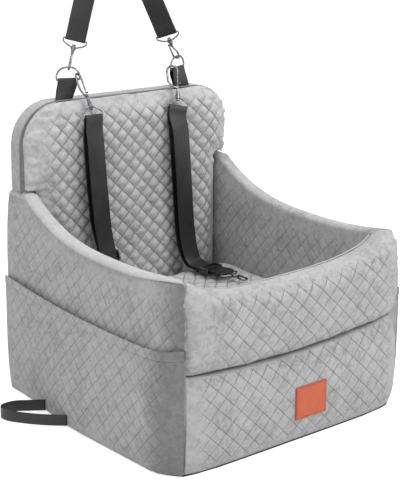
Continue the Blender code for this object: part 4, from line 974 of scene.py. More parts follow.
@dataclass(frozen=True)
class Wrinkles:
    """Soft wrinkles: how wide and high they are, where they show, and how much longer along each axis."""

    size: float
    depth: float
    held: Place
    stretch: Point = (1.0, 1.0, 1.0)

    def press(self, made: Object) -> None:
        """Wrinkles a piece along its normals.

        Args:
            made: The piece.
        """
        points, normals = points_of(made.data), points_of(made.data, "normal")
        scaled = points / (self.size * np.array(self.stretch))
        heights = np.array([noise.noise(Vector(point)) for point in scaled])
        share = np.clip(self.held(points, normals), 0.0, 1.0)
        set_points(made.data, points + normals * (heights * self.depth * share)[:, None])


def lay_cloth(mesh: Mesh) -> None:
    """Lays the cloth's own coordinates, in metres, over each face along the two axes that it faces least.

    Args:
        mesh: The cloth's mesh.
    """
    layer = mesh.uv_layers.get(CLOTH_UV) or mesh.uv_layers.new(name=CLOTH_UV)
    vertex = np.empty(len(mesh.loops), np.int32)
    mesh.loops.foreach_get("vertex_index", vertex)
    normals = np.empty(len(mesh.polygons) * 3)
    mesh.polygons.foreach_get("normal", normals)
    totals = np.empty(len(mesh.polygons), np.int32)
    mesh.polygons.foreach_get("loop_total", totals)
    facing = np.repeat(np.argmax(np.abs(normals.reshape(-1, 3)), axis=1), totals)
    points = points_of(mesh)[vertex]
    first = np.where(facing == 0, points[:, 1], points[:, 0])
    second = np.where(facing == 2, points[:, 1], points[:, 2])
    layer.data.foreach_set("uv", np.stack([first, second], axis=1).reshape(-1))


def dress_cloth(made: Object, *patterns: Quilting | Wrinkles, seam_shade: Place | None = None, fill: float = 0.0) -> None:
    """Presses the patterns of a cloth into a piece and lays the cloth's coordinates over it.

    Args:
        made: The piece.
        patterns: Its quilting and its wrinkles, in order.
        seam_shade: Where painted shade darkens it beside the front seam, or nowhere.
        fill: How tight it is filled, where it is padded; not used.
    """
    for pattern in patterns:
        pattern.press(made)
    # Records where the material paints shade beside the front seam.
    if seam_shade:
        share = seam_shade(points_of(made.data), points_of(made.data, "normal"))
        record(made.data, PAINTED_SEAM_SHADE, np.clip(share, 0.0, 1.0))
    lay_cloth(made.data)


def dress_node(name: str, finish: Material, rounding: float = 0.0, voxel: float = 0.0) -> None:
    """Gives a carried-over node its finish and rounds its edges.

    Args:
        name: The node's name.
        finish: Its material.
        rounding: The radius of its edges.
        voxel: For cast metal, the cell that melts its parts into one skin, or 0.
    """
    node = frame["nodes"][name]
    node.data.materials.clear()
    node.data.materials.append(finish)
    weld = node.modifiers.new("weld", "WELD")
    weld.merge_threshold = WELD
    if voxel:
        skin = node.modifiers.new("skin", "REMESH")
        skin.mode = "VOXEL"
        skin.voxel_size = voxel
        skin.use_smooth_shade = True
        soft = node.modifiers.new("soft", "SMOOTH")
        soft.iterations = 2
        soft.factor = 0.5
        return
    edge = node.modifiers.new("edge", "BEVEL")
    edge.width = rounding
    edge.segments = 3
    edge.limit_method = "ANGLE"
    edge.harden_normals = False


@dataclass(frozen=True)
class Stitch:
    """One visible stitch of a seam: its length, width and the gap to the next."""

    length: float = 0.0032
    width: float = 0.0008
    gap: float = 0.0013

    def row(self, path: Sequence[Vector], outward: Vector) -> bmesh.types.BMesh:
        """A row of stitches along a path.

        Args:
            path: Points that the row follows.
            outward: Which way the cloth faces there.

        Returns:
            The stitches, each a small rounded shape.
        """
        shape = bmesh.new()
        pitch = self.length + self.gap
        sizes = Matrix.Diagonal((self.length, self.width, self.width, 1.0))
        travelled = 0.0
        for start, end in zip(path, path[1:]):
            run = end - start
            count = math.floor((travelled + run.length) / pitch) - math.floor(travelled / pitch)
            along = run.normalized()
            across = along.cross(outward).normalized()
            turned = Matrix((along, across, along.cross(across))).transposed().to_4x4()
            first = (math.floor(travelled / pitch) + 1) * pitch - travelled
            for index in range(count):
                where = start + along * (first + index * pitch)
                matrix = Matrix.Translation(where) @ turned @ sizes
                bmesh.ops.create_icosphere(shape, subdivisions=1, radius=0.5, matrix=matrix)
            travelled += run.length
        return shape


# The box


@dataclass(frozen=True)
class BoxShape:
    """The outlines that the walls, the pockets, the front and the back share, as in the part's source."""

    front_edge: float = 0.255
    rear_edge: float = 0.260
    cabin_half: float = 0.220
    cabin_front: float = -0.210
    wall_edge: float = 0.2473
    floor: float = 0.0033
    side_bow: float = 0.028
    side_bow_power: float = 1.3
    side_puff: float = 0.0073
    bow_rear_share: float = 0.50
    bow_front_share: float = 0.11
    front_bow: float = 0.010
    front_bow_power: float = 8.0
    front_puff: float = 0.012
    rim_low_y: float = -0.060
    rim_low: float = 0.330
    rim_front_rise: float = 0.020
    shoulder: float = 0.395
    rim_top_y: float = 0.205
    front_rim_low: float = 0.3145
    front_rim_rise: float = 0.0355
    front_rim_power: float = 3.2
    seam_low: float = 0.168
    seam_rise: float = 0.015
    rim_round: float = 0.008

    @property
    def slope(self) -> float:
        """The slope of the corners' mitre."""
        return (self.front_edge + self.cabin_front) / (self.wall_edge - self.cabin_half)

    def side_rim(self, y: float) -> float:
        """Height of a side wall's rim.

        Args:
            y: The place along the seat.

        Returns:
            The height.
        """
        if y < self.rim_low_y:
            share = (self.rim_low_y - y) / (self.rim_low_y + self.front_edge)
            return self.rim_low + self.rim_front_rise * share**2
        share = min((y - self.rim_low_y) / (self.rim_top_y - self.rim_low_y), 1.0)
        return self.rim_low + (self.shoulder - self.rim_low) * share**3

    def wall_top(self, y: float) -> float:
        """Where a side wall ends and its rounded crown begins."""
        return self.side_rim(y) - self.rim_round

    def front_rim(self, x: Any) -> Any:
        """Height of the front roll's rim, for a number or an array."""
        return self.front_rim_low + self.front_rim_rise * (abs(x) / self.wall_edge) ** self.front_rim_power

    def front_seam(self, x: float) -> float:
        """Height of the seam under the front roll."""
        return self.seam_low + self.seam_rise * (x / self.wall_edge) ** 2

    def mitre_y(self, x: Any) -> Any:
        """Where the corner's mitre lies at a distance from the middle plane."""
        return self.cabin_front - (x - self.cabin_half) * self.slope

    def mitre_x(self, y: float) -> float:
        """How far from the middle plane the front's pieces end, just short of the mitre."""
        return self.cabin_half + (self.cabin_front - y) / self.slope - CLEARANCE

    def wall_x(self, share: float, height: float) -> float:
        """Distance of a side wall's outer face from the middle plane.

        Args:
            share: Share of the wall's length, from its front.
            height: Share of its height.

        Returns:
            The distance.
        """
        rounded = math.sin(math.pi / 2 * min(share / self.bow_front_share, 1.0))
        bow = rounded * ease((1 - share) / self.bow_rear_share)
        bowed = self.side_bow * bow * (1 - min(height, 1.0) ** self.side_bow_power)
        return self.wall_edge + bowed + self.side_puff * plateau(height)

    def wall_y(self, share: float, height: float) -> float:
        """Place along the seat of a point on a side wall's outer face."""
        front = self.mitre_y(self.wall_edge + self.side_puff * plateau(height))
        return front + (self.rear_edge - front) * share

    def along_wall(self, share: float) -> Callable[[float], float]:
        """For a share of a wall's length, where that lies at each distance from the middle plane."""
        return lambda x: self.mitre_y(x) + (self.rear_edge - self.mitre_y(x)) * share


@dataclass
class SideWall:
    """A stuffed side wall, the pocket on it and, on the left, its rim binding, paler as painted light where it faces
    up.
    """

    side: Side
    shape: BoxShape
    finishes: Wardrobe
    rows: int = 168
    outer_steps: int = 112
    crown_steps: int = 12
    crown_power: float = 0.85
    crown_rise: float = 0.002
    inner_steps: int = 44
    inner_puff: float = 0.0025
    inner_puff_low: Fade = Fade(0.19, 0.04)
    inner_puff_run: float = 0.03
    quilt_depth: float = 0.0013
    quilt_facing: Fade = Fade(0.55, 0.3)
    quilt_front: Fade = Fade(0.012, 0.035)
    quilt_rim: Fade = Fade(0.020, 0.018)
    quilt_rear: Fade = Fade(0.252, -0.02)
    quilt_foot: Fade = Fade(0.010, 0.02)
    gather_facing: Fade = Fade(0.4, 0.3)
    gather_foot: Fade = Fade(0.19, 0.03)
    gather_rim: Fade = Fade(0.335, -0.02)
    gather_seam: Fade = Fade(0.0, 0.004)
    gather_end: Fade = Fade(0.055, -0.055)
    # Where painted shade darkens the wall's cloth beside the front seam.
    seam_shade_facing: Fade = Fade(0.3, 0.3)
    seam_shade_end: Fade = Fade(0.092, -0.080)
    fill: float = 0.9
    binding_thickness: float = 0.0012
    binding_stand: float = 0.0010
    binding_shares: tuple[float, float] = (0.010, 0.984)
    binding_rise_share: float = 0.06
    binding_low: float = 14.0
    binding_narrowed: float = 34.0
    binding_narrowed_share: float = 0.35
    pocket_gap: float = 0.0045
    pocket_cloth: float = 0.0024
    pocket_low_y: float = -0.100
    pocket_low_z: float = 0.220
    pocket_rear_rise: float = 0.012
    pocket_front_rise: float = 0.018
    pocket_full_share: float = 0.45
    pocket_columns: int = 72
    pocket_quilt_depth: float = 0.0010
    pocket_quilt_front: Fade = Fade(0.012, 0.03)
    pocket_quilt_foot: Fade = Fade(0.008, 0.015)
    hem_height: float = 0.016
    hem_extra: float = 0.0008
    hem_cloth: float = 0.0028
    hem_quilt_depth: float = 0.0003
    hem_columns: int = 6
    hem_rise_share: float = 0.25
    hem_stitch_shares: tuple[float, float] = (1.12, 1.85)
    stitch_start: float = 0.02
    seam_gap: float = 0.001
    flat_shares: tuple[float, float] = (1.02, 0.95)

    def crown(self, depth: Callable[[float], float], low: float, high: float, grown: float) -> list[Vector]:
        """The rounded top of the wall's section.

        Args:
            depth: Where the section lies along the seat at a distance from the middle plane.
            low: The angle that the crown starts at, from its outer side.
            high: The angle that it ends at.
            grown: How far it stands off the wall.

        Returns:
            Points over the crown.
        """
        box = self.shape
        middle = (box.wall_edge + box.cabin_half) / 2
        half = (box.wall_edge - box.cabin_half) / 2 + grown
        found = []
        for share in spaced(self.crown_steps):
            angle = low + (high - low) * share
            x = middle + half * math.copysign(abs(math.cos(angle)) ** self.crown_power, math.cos(angle))
            rise = (box.rim_round + self.crown_rise + grown) * math.sin(angle) ** self.crown_power
            found.append(Vector((x, depth(x), box.wall_top(depth(x)) + rise)))
        return found

    def section(self, share: float) -> list[Vector]:
        """The points round the wall at one place.

        Args:
            share: Share of the wall's length, from its front.

        Returns:
            The points, for a wall on the right.
        """
        box = self.shape
        depth = box.along_wall(share)
        found = []
        for height in spaced(self.outer_steps)[:-1]:
            y = depth(box.wall_edge + box.side_puff * plateau(height))
            found.append(Vector((box.wall_x(share, height), y, box.floor + (box.wall_top(y) - box.floor) * height)))
        found += self.crown(depth, 0.0, math.pi, 0.0)
        y = depth(box.cabin_half)
        top = box.wall_top(y)
        for down in spaced(self.inner_steps)[1:]:
            z = top + (box.floor - top) * down
            puff = self.inner_puff * self.inner_puff_low(z) * ease((top - z) / self.inner_puff_run)
            found.append(Vector((box.cabin_half - puff, y, z)))
        return found

    def mirrored(self, point: Vector) -> Vector:
        """The point on this wall's own side."""
        return Vector((point.x * self.side.value, point.y, point.z))

    def build_wall(self) -> None:
        """The stuffed wall, quilted outside and inside and gathered at its front seam."""
        box, sign, word = self.shape, self.side.value, self.side.word
        sections = [[self.mirrored(point) for point in self.section(share)] for share in spaced(self.rows)]
        nodes = (f"{word}_side_cover", f"{word}_side_foam")
        mesh = as_mesh(wrapped(sections), "wall")
        made = add_piece(f"{word}_side_wall", mesh, self.finishes.side, "side_cloth", "seat", *nodes)
        rims = np.vectorize(box.side_rim)

        def faces(points: np.ndarray, normals: np.ndarray) -> np.ndarray:
            """How firmly the quilting holds: on both faces, clear of the rim and the seams.

            Args:
                points: The vertices' places.
                normals: Their normals.

            Returns:
                One share for each vertex.
            """
            x, y, z = points.T
            held = self.quilt_facing(np.abs(normals[:, 0])) * self.quilt_front(y - box.mitre_y(np.abs(x)))
            held *= self.quilt_rim(rims(y) - z)
            return held * self.quilt_rear(y) * self.quilt_foot(z)

        def near_seam(points: np.ndarray, normals: np.ndarray) -> np.ndarray:
            """How far the gathers show, beside the front seam.

            Args:
                points: The vertices' places.
                normals: Their normals.

            Returns:
                One share for each vertex.
            """
            x, y, z = points.T
            inward = y - box.mitre_y(np.abs(x))
            held = self.gather_facing(normals[:, 0] * sign) * self.gather_foot(z) * self.gather_rim(z)
            return held * self.gather_end(inward) * self.gather_seam(inward)

        def beside_seam(points: np.ndarray, normals: np.ndarray) -> np.ndarray:
            """How far the painted shade beside the front seam reaches."""
            inward = points[:, 1] - box.mitre_y(np.abs(points[:, 0]))
            return self.seam_shade_facing(normals[:, 0] * sign) * self.seam_shade_end(inward)

        gathers = Wrinkles(size=0.0085, depth=0.0042, held=near_seam, stretch=(1.0, 4.0, 1.0))
        waves = Wrinkles(size=0.055, depth=0.0016, held=faces)
        quilting = Quilting(SIDE_DIAMOND, (1, 2), self.quilt_depth, faces)
        dress_cloth(made, quilting, gathers, waves, seam_shade=beside_seam, fill=self.fill)

    def build_binding(self) -> None:
        """The strip of cloth over the rim, in a paler grey as painted light where it faces up."""

        def place(along: float, over: float) -> Vector:
            """A point on the strip.

            Args:
                along: Share of its length, from the front.
                over: Share of the way over the rim, from outside.

            Returns:
                The point, on this wall's own side.
            """
            start, span = self.binding_shares
            depth = self.shape.along_wall(start + span * along)
            stand = self.binding_stand * ease(along / self.binding_rise_share)
            narrowed = self.binding_narrowed * ease(1 - along / self.binding_narrowed_share)
            low = math.radians(self.binding_low + narrowed)
            crown = self.crown(depth, low, math.pi - low, stand)
            return self.mirrored(crown[round(over * self.crown_steps)])

        mesh = as_mesh(sheet(self.rows, self.crown_steps, place, self.binding_thickness), "binding")
        name = f"{self.side.word}_rim_binding"
        made = add_piece(name, mesh, self.finishes.binding, "side_cloth", "seat")
        Wrinkles(
            size=0.012, depth=0.0006, held=lambda points, normals: np.ones(len(points)), stretch=(1.0, 2.0, 1.0)
        ).press(made)

    def opening(self, y: float) -> float:
        """Height of the pocket's opening.

        Args:
            y: The place along the seat.

        Returns:
            The height.
        """
        box = self.shape
        if y < self.pocket_low_y:
            share = (self.pocket_low_y - y) / (self.pocket_low_y + box.front_edge)
            return self.pocket_low_z + self.pocket_front_rise * share**3
        share = (y - self.pocket_low_y) / (box.rear_edge - self.pocket_low_y)
        return self.pocket_low_z + self.pocket_rear_rise * share**2

    def pocket_point(self, along: float, share: float, extra: float) -> Vector:
        """A point on the pocket's outer side, at shares of its length and of the way up to its hem.

        Args:
            along: Share of the length.
            share: Share of the height; what is over 1 lies in the hem.
            extra: How far the cloth stands out further.

        Returns:
            The point, on this pocket's own side.
        """
        box = self.shape
        y = box.wall_y(along, 0.0)
        seam = self.opening(y) - self.hem_height
        z = box.floor + (seam - box.floor) * min(share, 1.0) + self.hem_height * max(share - 1.0, 0.0)
        height = (z - box.floor) / (box.wall_top(y) - box.floor)
        y = box.wall_y(along, height)
        stand = CLEARANCE + (self.pocket_gap - CLEARANCE) * plateau(along) * ease(share / self.pocket_full_share)
        return self.mirrored(Vector((box.wall_x(along, height) + stand + self.pocket_cloth + extra, y, z)))

    def build_pocket(self) -> None:
        """The pocket's quilted cloth and its stitched hem."""
        word, box, finish = self.side.word, self.shape, self.finishes.side
        seam_y = box.mitre_y(box.wall_edge)

        def held(points: np.ndarray, normals: np.ndarray) -> np.ndarray:
            """How firmly the quilting holds: clear of the seams."""
            sewn = self.pocket_quilt_front(points[:, 1] - seam_y) * self.quilt_rear(points[:, 1])
            return sewn * self.pocket_quilt_foot(points[:, 2])

        def beside_seam(points: np.ndarray, normals: np.ndarray) -> np.ndarray:
            """How far the painted shade beside the front seam reaches."""
            return self.seam_shade_end(points[:, 1] - seam_y)

        def cloth_point(along: float, share: float) -> Vector:
            """A point on the cloth, up to just under the hem."""
            return self.pocket_point(along, share * (1 - self.seam_gap), 0.0)

        def hem_point(along: float, share: float) -> Vector:
            """A point on the hem, from just over the cloth's end to just under the opening."""
            height = 1 + self.seam_gap + share * (1 - 2 * self.seam_gap)
            return self.pocket_point(along, height, self.hem_extra * ease(share / self.hem_rise_share))

        cloth = sheet(self.rows, self.pocket_columns, cloth_point, self.pocket_cloth)
        made = add_piece(f"{word}_pocket_cloth", as_mesh(cloth, "pocket"), finish, "side_cloth", "seat",
                         f"{word}_pocket")
        quilting = Quilting(SIDE_DIAMOND, (1, 2), self.pocket_quilt_depth, held)
        dress_cloth(made, quilting, Wrinkles(size=0.05, depth=0.0014, held=held), seam_shade=beside_seam)
        band = as_mesh(sheet(self.rows, self.hem_columns, hem_point, self.hem_cloth), "hem")
        hem = add_piece(f"{word}_pocket_edge", band, finish, "side_cloth", "seat", f"{word}_pocket_hem")
        dress_cloth(hem, Quilting(SIDE_DIAMOND, (1, 2), self.hem_quilt_depth, held), seam_shade=beside_seam)
        rows = bmesh.new()
        for share in self.hem_stitch_shares:
            start, stand = self.stitch_start, self.hem_extra + CLEARANCE / 3
            path = [self.pocket_point(start + (1 - 2 * start) * along, share, stand) for along in spaced(90)]
            row = as_mesh(Stitch().row(path, Vector((self.side.value, 0, 0))), "row")
            rows.from_mesh(row)
            bpy.data.meshes.remove(row)
        stitches = as_mesh(rows, "stitches")
        thread = add_piece(f"{word}_pocket_stitches", stitches, self.finishes.grey_thread, "side_cloth", "seat")

    def build(self) -> None:
        """Builds the wall and all that is sewn to it."""
        self.build_wall()
        # Only the left wall gets the binding, whose paler grey is painted light.
        if self.side is Side.LEFT:
            self.build_binding()
        self.build_pocket()


@dataclass
class Front:
    """The front of the box: the stuffed roll, the panel under it and the leather patch."""

    shape: BoxShape
    finishes: Wardrobe
    rows: int = 170
    roll_end: float = 0.012
    roll_overhang: float = 0.020
    roll_power: float = 3.0
    roll_steps: int = 128
    roll_start: float = 0.0035
    roll_swell: float = 0.006
    roll_low_gap: Point = (0.002, -0.005, 0.0025)
    roll_high_gap: Point = (-0.001, 0.0, 0.001)
    roll_fill: float = 0.8
    roll_quilt_depth: float = 0.0020
    roll_quilt_left: Fade = Fade(-0.215, 0.05)
    roll_quilt_right: Fade = Fade(0.235, -0.03)
    roll_quilt_facing: Fade = Fade(0.25, 0.4)
    roll_quilt_rim: Fade = Fade(0.008, 0.012)
    gather_left: Fade = Fade(-0.185, -0.06)
    gather_right: Fade = Fade(0.195, 0.05)
    gather_facing: Fade = Fade(0.0, 0.4)
    panel_steps: int = 60
    panel_corner_steps: int = 8
    panel_fill: float = 0.9
    panel_quilt_depth: float = 0.0016
    panel_quilt_left: Fade = Fade(-0.238, 0.03)
    panel_quilt_right: Fade = Fade(0.243, -0.025)
    panel_quilt_facing: Fade = Fade(0.45, 0.3)
    panel_quilt_foot: Fade = Fade(0.008, 0.015)
    patch_middle: tuple[float, float] = (0.029, 0.0775)
    patch_half: tuple[float, float] = (0.0375, 0.0315)
    patch_held_share: float = 0.35
    patch_run: float = 0.012
    patch_rounding: float = 0.0006
    stitch_inset: float = 0.0036
    stitch_stand: float = 0.0001
    seam_y: float = -0.226
    seam_reach: float = 0.005
    seam_radius: float = 0.0011
    seam_smoothings: int = 6

    def roll_section(self, share: float) -> list[Vector]:
        """The points round the roll at one place, a little smaller than it ends.

        Args:
            share: Share of its length, from the left.

        Returns:
            The points.
        """
        box = self.shape
        full = plateau(share, box.front_bow_power)
        front = -(box.front_edge + self.roll_end + (self.roll_overhang - self.roll_end) * full) + self.roll_start
        rear = box.cabin_front - self.roll_start / 2
        found = []
        for turn in spaced(self.roll_steps)[:-1]:
            across, upward = (
                math.copysign(abs(part) ** (2 / self.roll_power), part)
                for part in (math.cos(2 * math.pi * turn), math.sin(2 * math.pi * turn))
            )
            y = (front + rear) / 2 - (rear - front) / 2 * across
            x = (2 * share - 1) * box.mitre_x(y)
            low = box.front_seam(x) + self.roll_start / 2
            high = box.front_rim(x) - self.roll_start / 2
            found.append(Vector((x, y, (low + high) / 2 + (high - low) / 2 * upward)))
        return found

    def build_roll(self) -> Object:
        """The stuffed roll, quilted on its front and plain and gathered at its ends.

        Returns:
            The roll.
        """
        box = self.shape
        mesh = as_mesh(wrapped([self.roll_section(share) for share in spaced(self.rows)]), "roll")
        made = add_piece("front_roll", mesh, self.finishes.front, "front_cloth", "seat", "front_upper_roll")
        Stuffing(self.roll_swell).fill(made)
        low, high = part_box("front_upper_roll")
        high = Vector((high.x, box.cabin_front, high.z))
        stretch_to(made, low + Vector(self.roll_low_gap), high + Vector(self.roll_high_gap))

        def held(points: np.ndarray, normals: np.ndarray) -> np.ndarray:
            """How firmly the quilting holds: on the front, between the plain ends.

            Args:
                points: The vertices' places.
                normals: Their normals.

            Returns:
                One share for each vertex.
            """
            x, _, z = points.T
            ends = self.roll_quilt_left(x) * self.roll_quilt_right(x)
            return ends * self.roll_quilt_facing(-normals[:, 1]) * self.roll_quilt_rim(box.front_rim(x) - z)

        def ends(points: np.ndarray, normals: np.ndarray) -> np.ndarray:
            """How far the gathers show, at both ends."""
            held = self.gather_left(points[:, 0]) + self.gather_right(points[:, 0])
            return held * self.gather_facing(-normals[:, 1])

        quilting = Quilting(FRONT_DIAMOND, (0, 2), self.roll_quilt_depth, held)
        gathers = Wrinkles(size=0.012, depth=0.0035, held=ends, stretch=(3.5, 1.0, 1.0))
        waves = Wrinkles(size=0.045, depth=0.0022, held=held)
        dress_cloth(made, quilting, gathers, waves, fill=self.roll_fill)
        return made

    def panel_section(self, share: float) -> list[Vector]:
        """The points round the lower panel at one place.

        Args:
            share: Share of its length, from the left.

        Returns:
            The points.
        """
        box = self.shape
        bow = box.front_bow * plateau(share, box.front_bow_power)

        def point(y: float, mitred: float, height: float) -> Vector:
            """A point at a depth and a share of the height, as far out as the mitre is at a second depth."""
            x = (2 * share - 1) * box.mitre_x(mitred)
            return Vector((x, y, box.floor + (box.front_seam(x) - CLEARANCE - box.floor) * height))

        found = []
        for height in spaced(self.panel_steps)[:-1]:
            corner = -box.front_edge - box.front_puff * plateau(height)
            found.append(point(corner - bow, corner, height))
        for mix in spaced(self.panel_corner_steps):
            corner = -box.front_edge + (box.cabin_front + box.front_edge) * mix
            found.append(point(corner - bow * (1 - mix), corner, 1.0))
        for down in spaced(self.panel_corner_steps)[1:]:
            found.append(point(box.cabin_front, box.cabin_front, 1 - down))
        return found

    def build_panel(self) -> None:
        """The lower panel, quilted on its front."""
        mesh = as_mesh(wrapped([self.panel_section(share) for share in spaced(self.rows)]), "panel")
        nodes = ("front_lower_cover", "front_lower_foam")
        made = add_piece("front_lower_panel", mesh, self.finishes.front, "front_cloth", "seat", *nodes)

        def held(points: np.ndarray, normals: np.ndarray) -> np.ndarray:
            """How firmly the quilting holds: clear of the seams and loose behind the patch.

            Args:
                points: The vertices' places.
                normals: Their normals.

            Returns:
                One share for each vertex.
            """
            x, _, z = points.T
            ends = self.panel_quilt_left(x) * self.panel_quilt_right(x)
            flat = self.panel_quilt_facing(-normals[:, 1]) * self.panel_quilt_foot(z)
            beside = np.abs(x - self.patch_middle[0]) - self.patch_half[0]
            over = np.abs(z - self.patch_middle[1]) - self.patch_half[1]
            return ends * flat * ease(self.patch_held_share + np.maximum(beside, over) / self.patch_run)

        quilting = Quilting(FRONT_DIAMOND, (0, 2), self.panel_quilt_depth, held)
        dress_cloth(made, quilting, Wrinkles(size=0.05, depth=0.0018, held=held), fill=self.panel_fill)

    def build_seam(self, roll: Object) -> None:
        """The narrow seam along the top of the roll, on the cabin's side, in the binding's paler grey as painted
        light.

        Args:
            roll: The finished roll, on which it lies.
        """
        points = points_of(roll.data)
        upper = points[np.abs(points[:, 1] - self.seam_y) < self.seam_reach]
        path = []
        for share in spaced(self.rows):
            x = (2 * share - 1) * (self.shape.cabin_half - self.seam_reach)
            near = upper[np.abs(upper[:, 0] - x) < self.seam_reach]
            path.append((x, self.seam_y, near[:, 2].max()))
        heights = np.array(path)
        for _ in range(self.seam_smoothings):
            heights[1:-1, 2] = (heights[:-2, 2] + 2 * heights[1:-1, 2] + heights[2:, 2]) / 4
        cord = cord_tube([Vector(point) for point in heights], self.seam_radius)
        # The seam takes the binding's paler grey, as painted light on the roll's lit top.
        add_piece("front_rim_seam", as_mesh(cord, "seam"), self.finishes.binding, "front_cloth", "seat")

    def dress_patch(self) -> None:
        """The leather patch: softer edges and a row of stitches round it."""
        dress_node("leather_patch", self.finishes.leather, self.patch_rounding)
        low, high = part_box("leather_patch")
        left, right = low.x + self.stitch_inset, high.x - self.stitch_inset
        foot, head = low.z + self.stitch_inset, high.z - self.stitch_inset
        corners = [(left, foot), (right, foot), (right, head), (left, head), (left, foot)]
        path = [Vector((x, low.y - self.stitch_stand, z)) for x, z in corners]
        mesh = as_mesh(Stitch(length=0.0026, gap=0.0012).row(path, Vector((0, -1, 0))), "stitches")
        add_piece("patch_stitches", mesh, self.finishes.tan_thread, "leather", "seat")

    def build(self) -> None:
        """Builds the front."""
        self.build_seam(self.build_roll())
        self.build_panel()
        self.dress_patch()


@dataclass
class Back:
    """The tall back: its stuffed rear shell, the piped seam and the quilted pad."""

    shape: BoxShape
    finishes: Wardrobe
    half: float = 0.245
    height: float = 0.552
    slump: float = 0.014
    slump_run: float = 0.262
    corner: float = 0.078
    outline_steps: int = 14
    seam_y: float = 0.225
    piping_radius: float = 0.0013
    piping_inset: float = 0.0006
    shell_inset: float = 0.0004
    shell_rounding: float = 0.006
    shell_rear_gap: float = 0.001
    shell_voxel: float = 0.004
    shell_quilt_depth: float = 0.0012
    shell_quilt_facing: Fade = Fade(0.6, 0.3)
    shell_fill: float = 0.9
    pad_inset: float = 0.0015
    pad_rounding: float = 0.005
    pad_voxel: float = 0.005
    pad_depth: float = 0.037
    pad_edge: float = 0.013
    pad_round: float = 0.050
    pad_foot: float = 0.06
    pad_start: float = 0.004
    pad_swell: float = 0.007
    pad_low_gap: Point = (0.001, 0.0026, 0.0)
    pad_high_gap: Point = (-0.003, 0.0, 0.0)
    pad_fill: float = 0.7
    quilt_depth: float = 0.0056
    quilt_facing: Fade = Fade(0.0, 0.5)
    quilt_border: Fade = Fade(0.010, 0.022)
    quilt_left: Fade = Fade(-0.222, 0.045)
    gather_side: Fade = Fade(0.17, 0.03)
    gather_foot: Fade = Fade(0.36, 0.03)
    gather_border: Fade = Fade(0.0, 0.004)
    gather_end: Fade = Fade(0.045, -0.045)
    gather_facing: Fade = Fade(0.2, -0.5)

    def top(self, x: float) -> float:
        """Height of the top edge, which slopes a little as the soft back leans."""
        return self.height - self.slump * x / self.slump_run

    def outline(self, inset: float) -> list[tuple[float, float]]:
        """The back's outline, wide above the walls' shoulders, with round top corners.

        Args:
            inset: How far inside the back's edge it lies.

        Returns:
            The (x, z) points in order.
        """
        box = self.shape
        lower = box.cabin_half - CLEARANCE - inset
        upper = self.half - inset
        shoulder = box.shoulder + CLEARANCE + inset
        radius = self.corner - inset
        points = [(-lower, box.floor), (lower, box.floor), (lower, shoulder), (upper, shoulder)]
        for side in (1, -1):
            for share in spaced(self.outline_steps):
                angle = math.radians(90) * share
                reach = (math.cos(angle), math.sin(angle)) if side > 0 else (math.sin(angle), math.cos(angle))
                x = side * (upper - radius + radius * reach[0])
                points.append((x, self.top(side * (upper - radius)) - inset - radius + radius * reach[1]))
        return points + [(-upper, shoulder), (-lower, shoulder)]

    def depth_inside(self, points: np.ndarray, inset: float) -> np.ndarray:
        """Distance of points from the outline's nearest edge.

        Args:
            points: Rows of (x, z).
            inset: The outline's inset.

        Returns:
            One distance for each row.
        """
        outline = np.array(self.outline(inset))
        nearest = np.full(len(points), 1.0)
        for start, end in zip(outline, np.roll(outline, -1, axis=0)):
            run = end - start
            share = np.clip(((points - start) @ run) / (run @ run), 0.0, 1.0)
            nearest = np.minimum(nearest, np.linalg.norm(points - start - share[:, None] * run, axis=1))
        return nearest

    def build_shell(self) -> None:
        """The rear shell, a foam panel in its cover."""
        near, far = self.seam_y + CLEARANCE, self.shape.rear_edge - self.shell_rear_gap
        mesh = as_mesh(slab(self.outline(self.shell_inset), near, far, self.shell_rounding), "shell")
        made = add_piece("back_shell", mesh, self.finishes.side, "side_cloth", "seat", "back_cover", "back_foam")
        modified(made, "REMESH", mode="VOXEL", voxel_size=self.shell_voxel)
        modified(made, "SMOOTH", iterations=4, factor=0.5)

        def held(points: np.ndarray, normals: np.ndarray) -> np.ndarray:
            """How firmly the quilting holds: on the rear face."""
            return self.shell_quilt_facing(normals[:, 1])

        dress_cloth(made, Quilting(SIDE_DIAMOND, (0, 2), self.shell_quilt_depth, held), fill=self.shell_fill)

    def build_pad(self) -> None:
        """The pad, puffed between its stitched diamonds, plain and gathered along its border."""
        outline = self.outline(self.pad_inset)
        mesh = as_mesh(slab(outline, self.seam_y - self.pad_edge, self.seam_y, self.pad_rounding), "pad")
        made = add_piece("quilted_back_pad", mesh, self.finishes.pad, "light_cloth", "seat", "back_pad")
        modified(made, "REMESH", mode="VOXEL", voxel_size=self.pad_voxel)
        points = points_of(made.data)
        inside = self.depth_inside(points[:, [0, 2]], self.pad_inset)
        # The pad's foot is hidden behind the cushion, so it is full there, down to its lower edge.
        inside = np.maximum(inside, np.where(points[:, 2] < self.pad_foot, self.pad_foot, 0.0))
        swell = ease(inside / self.pad_round) * (self.pad_depth - self.pad_edge - self.pad_start)
        points[:, 1] -= swell * np.clip((self.seam_y - points[:, 1]) / self.pad_edge, 0.0, 1.0)
        set_points(made.data, points)
        Stuffing(self.pad_swell).fill(made)
        low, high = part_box("back_pad")
        high = Vector((high.x, self.seam_y, high.z))
        stretch_to(made, low + Vector(self.pad_low_gap), high + Vector(self.pad_high_gap))

        def held(points: np.ndarray, normals: np.ndarray) -> np.ndarray:
            """How firmly the quilting holds: inside the plain border."""
            border = self.quilt_border(self.depth_inside(points[:, [0, 2]], 0.0))
            return self.quilt_facing(-normals[:, 1]) * border * self.quilt_left(points[:, 0])

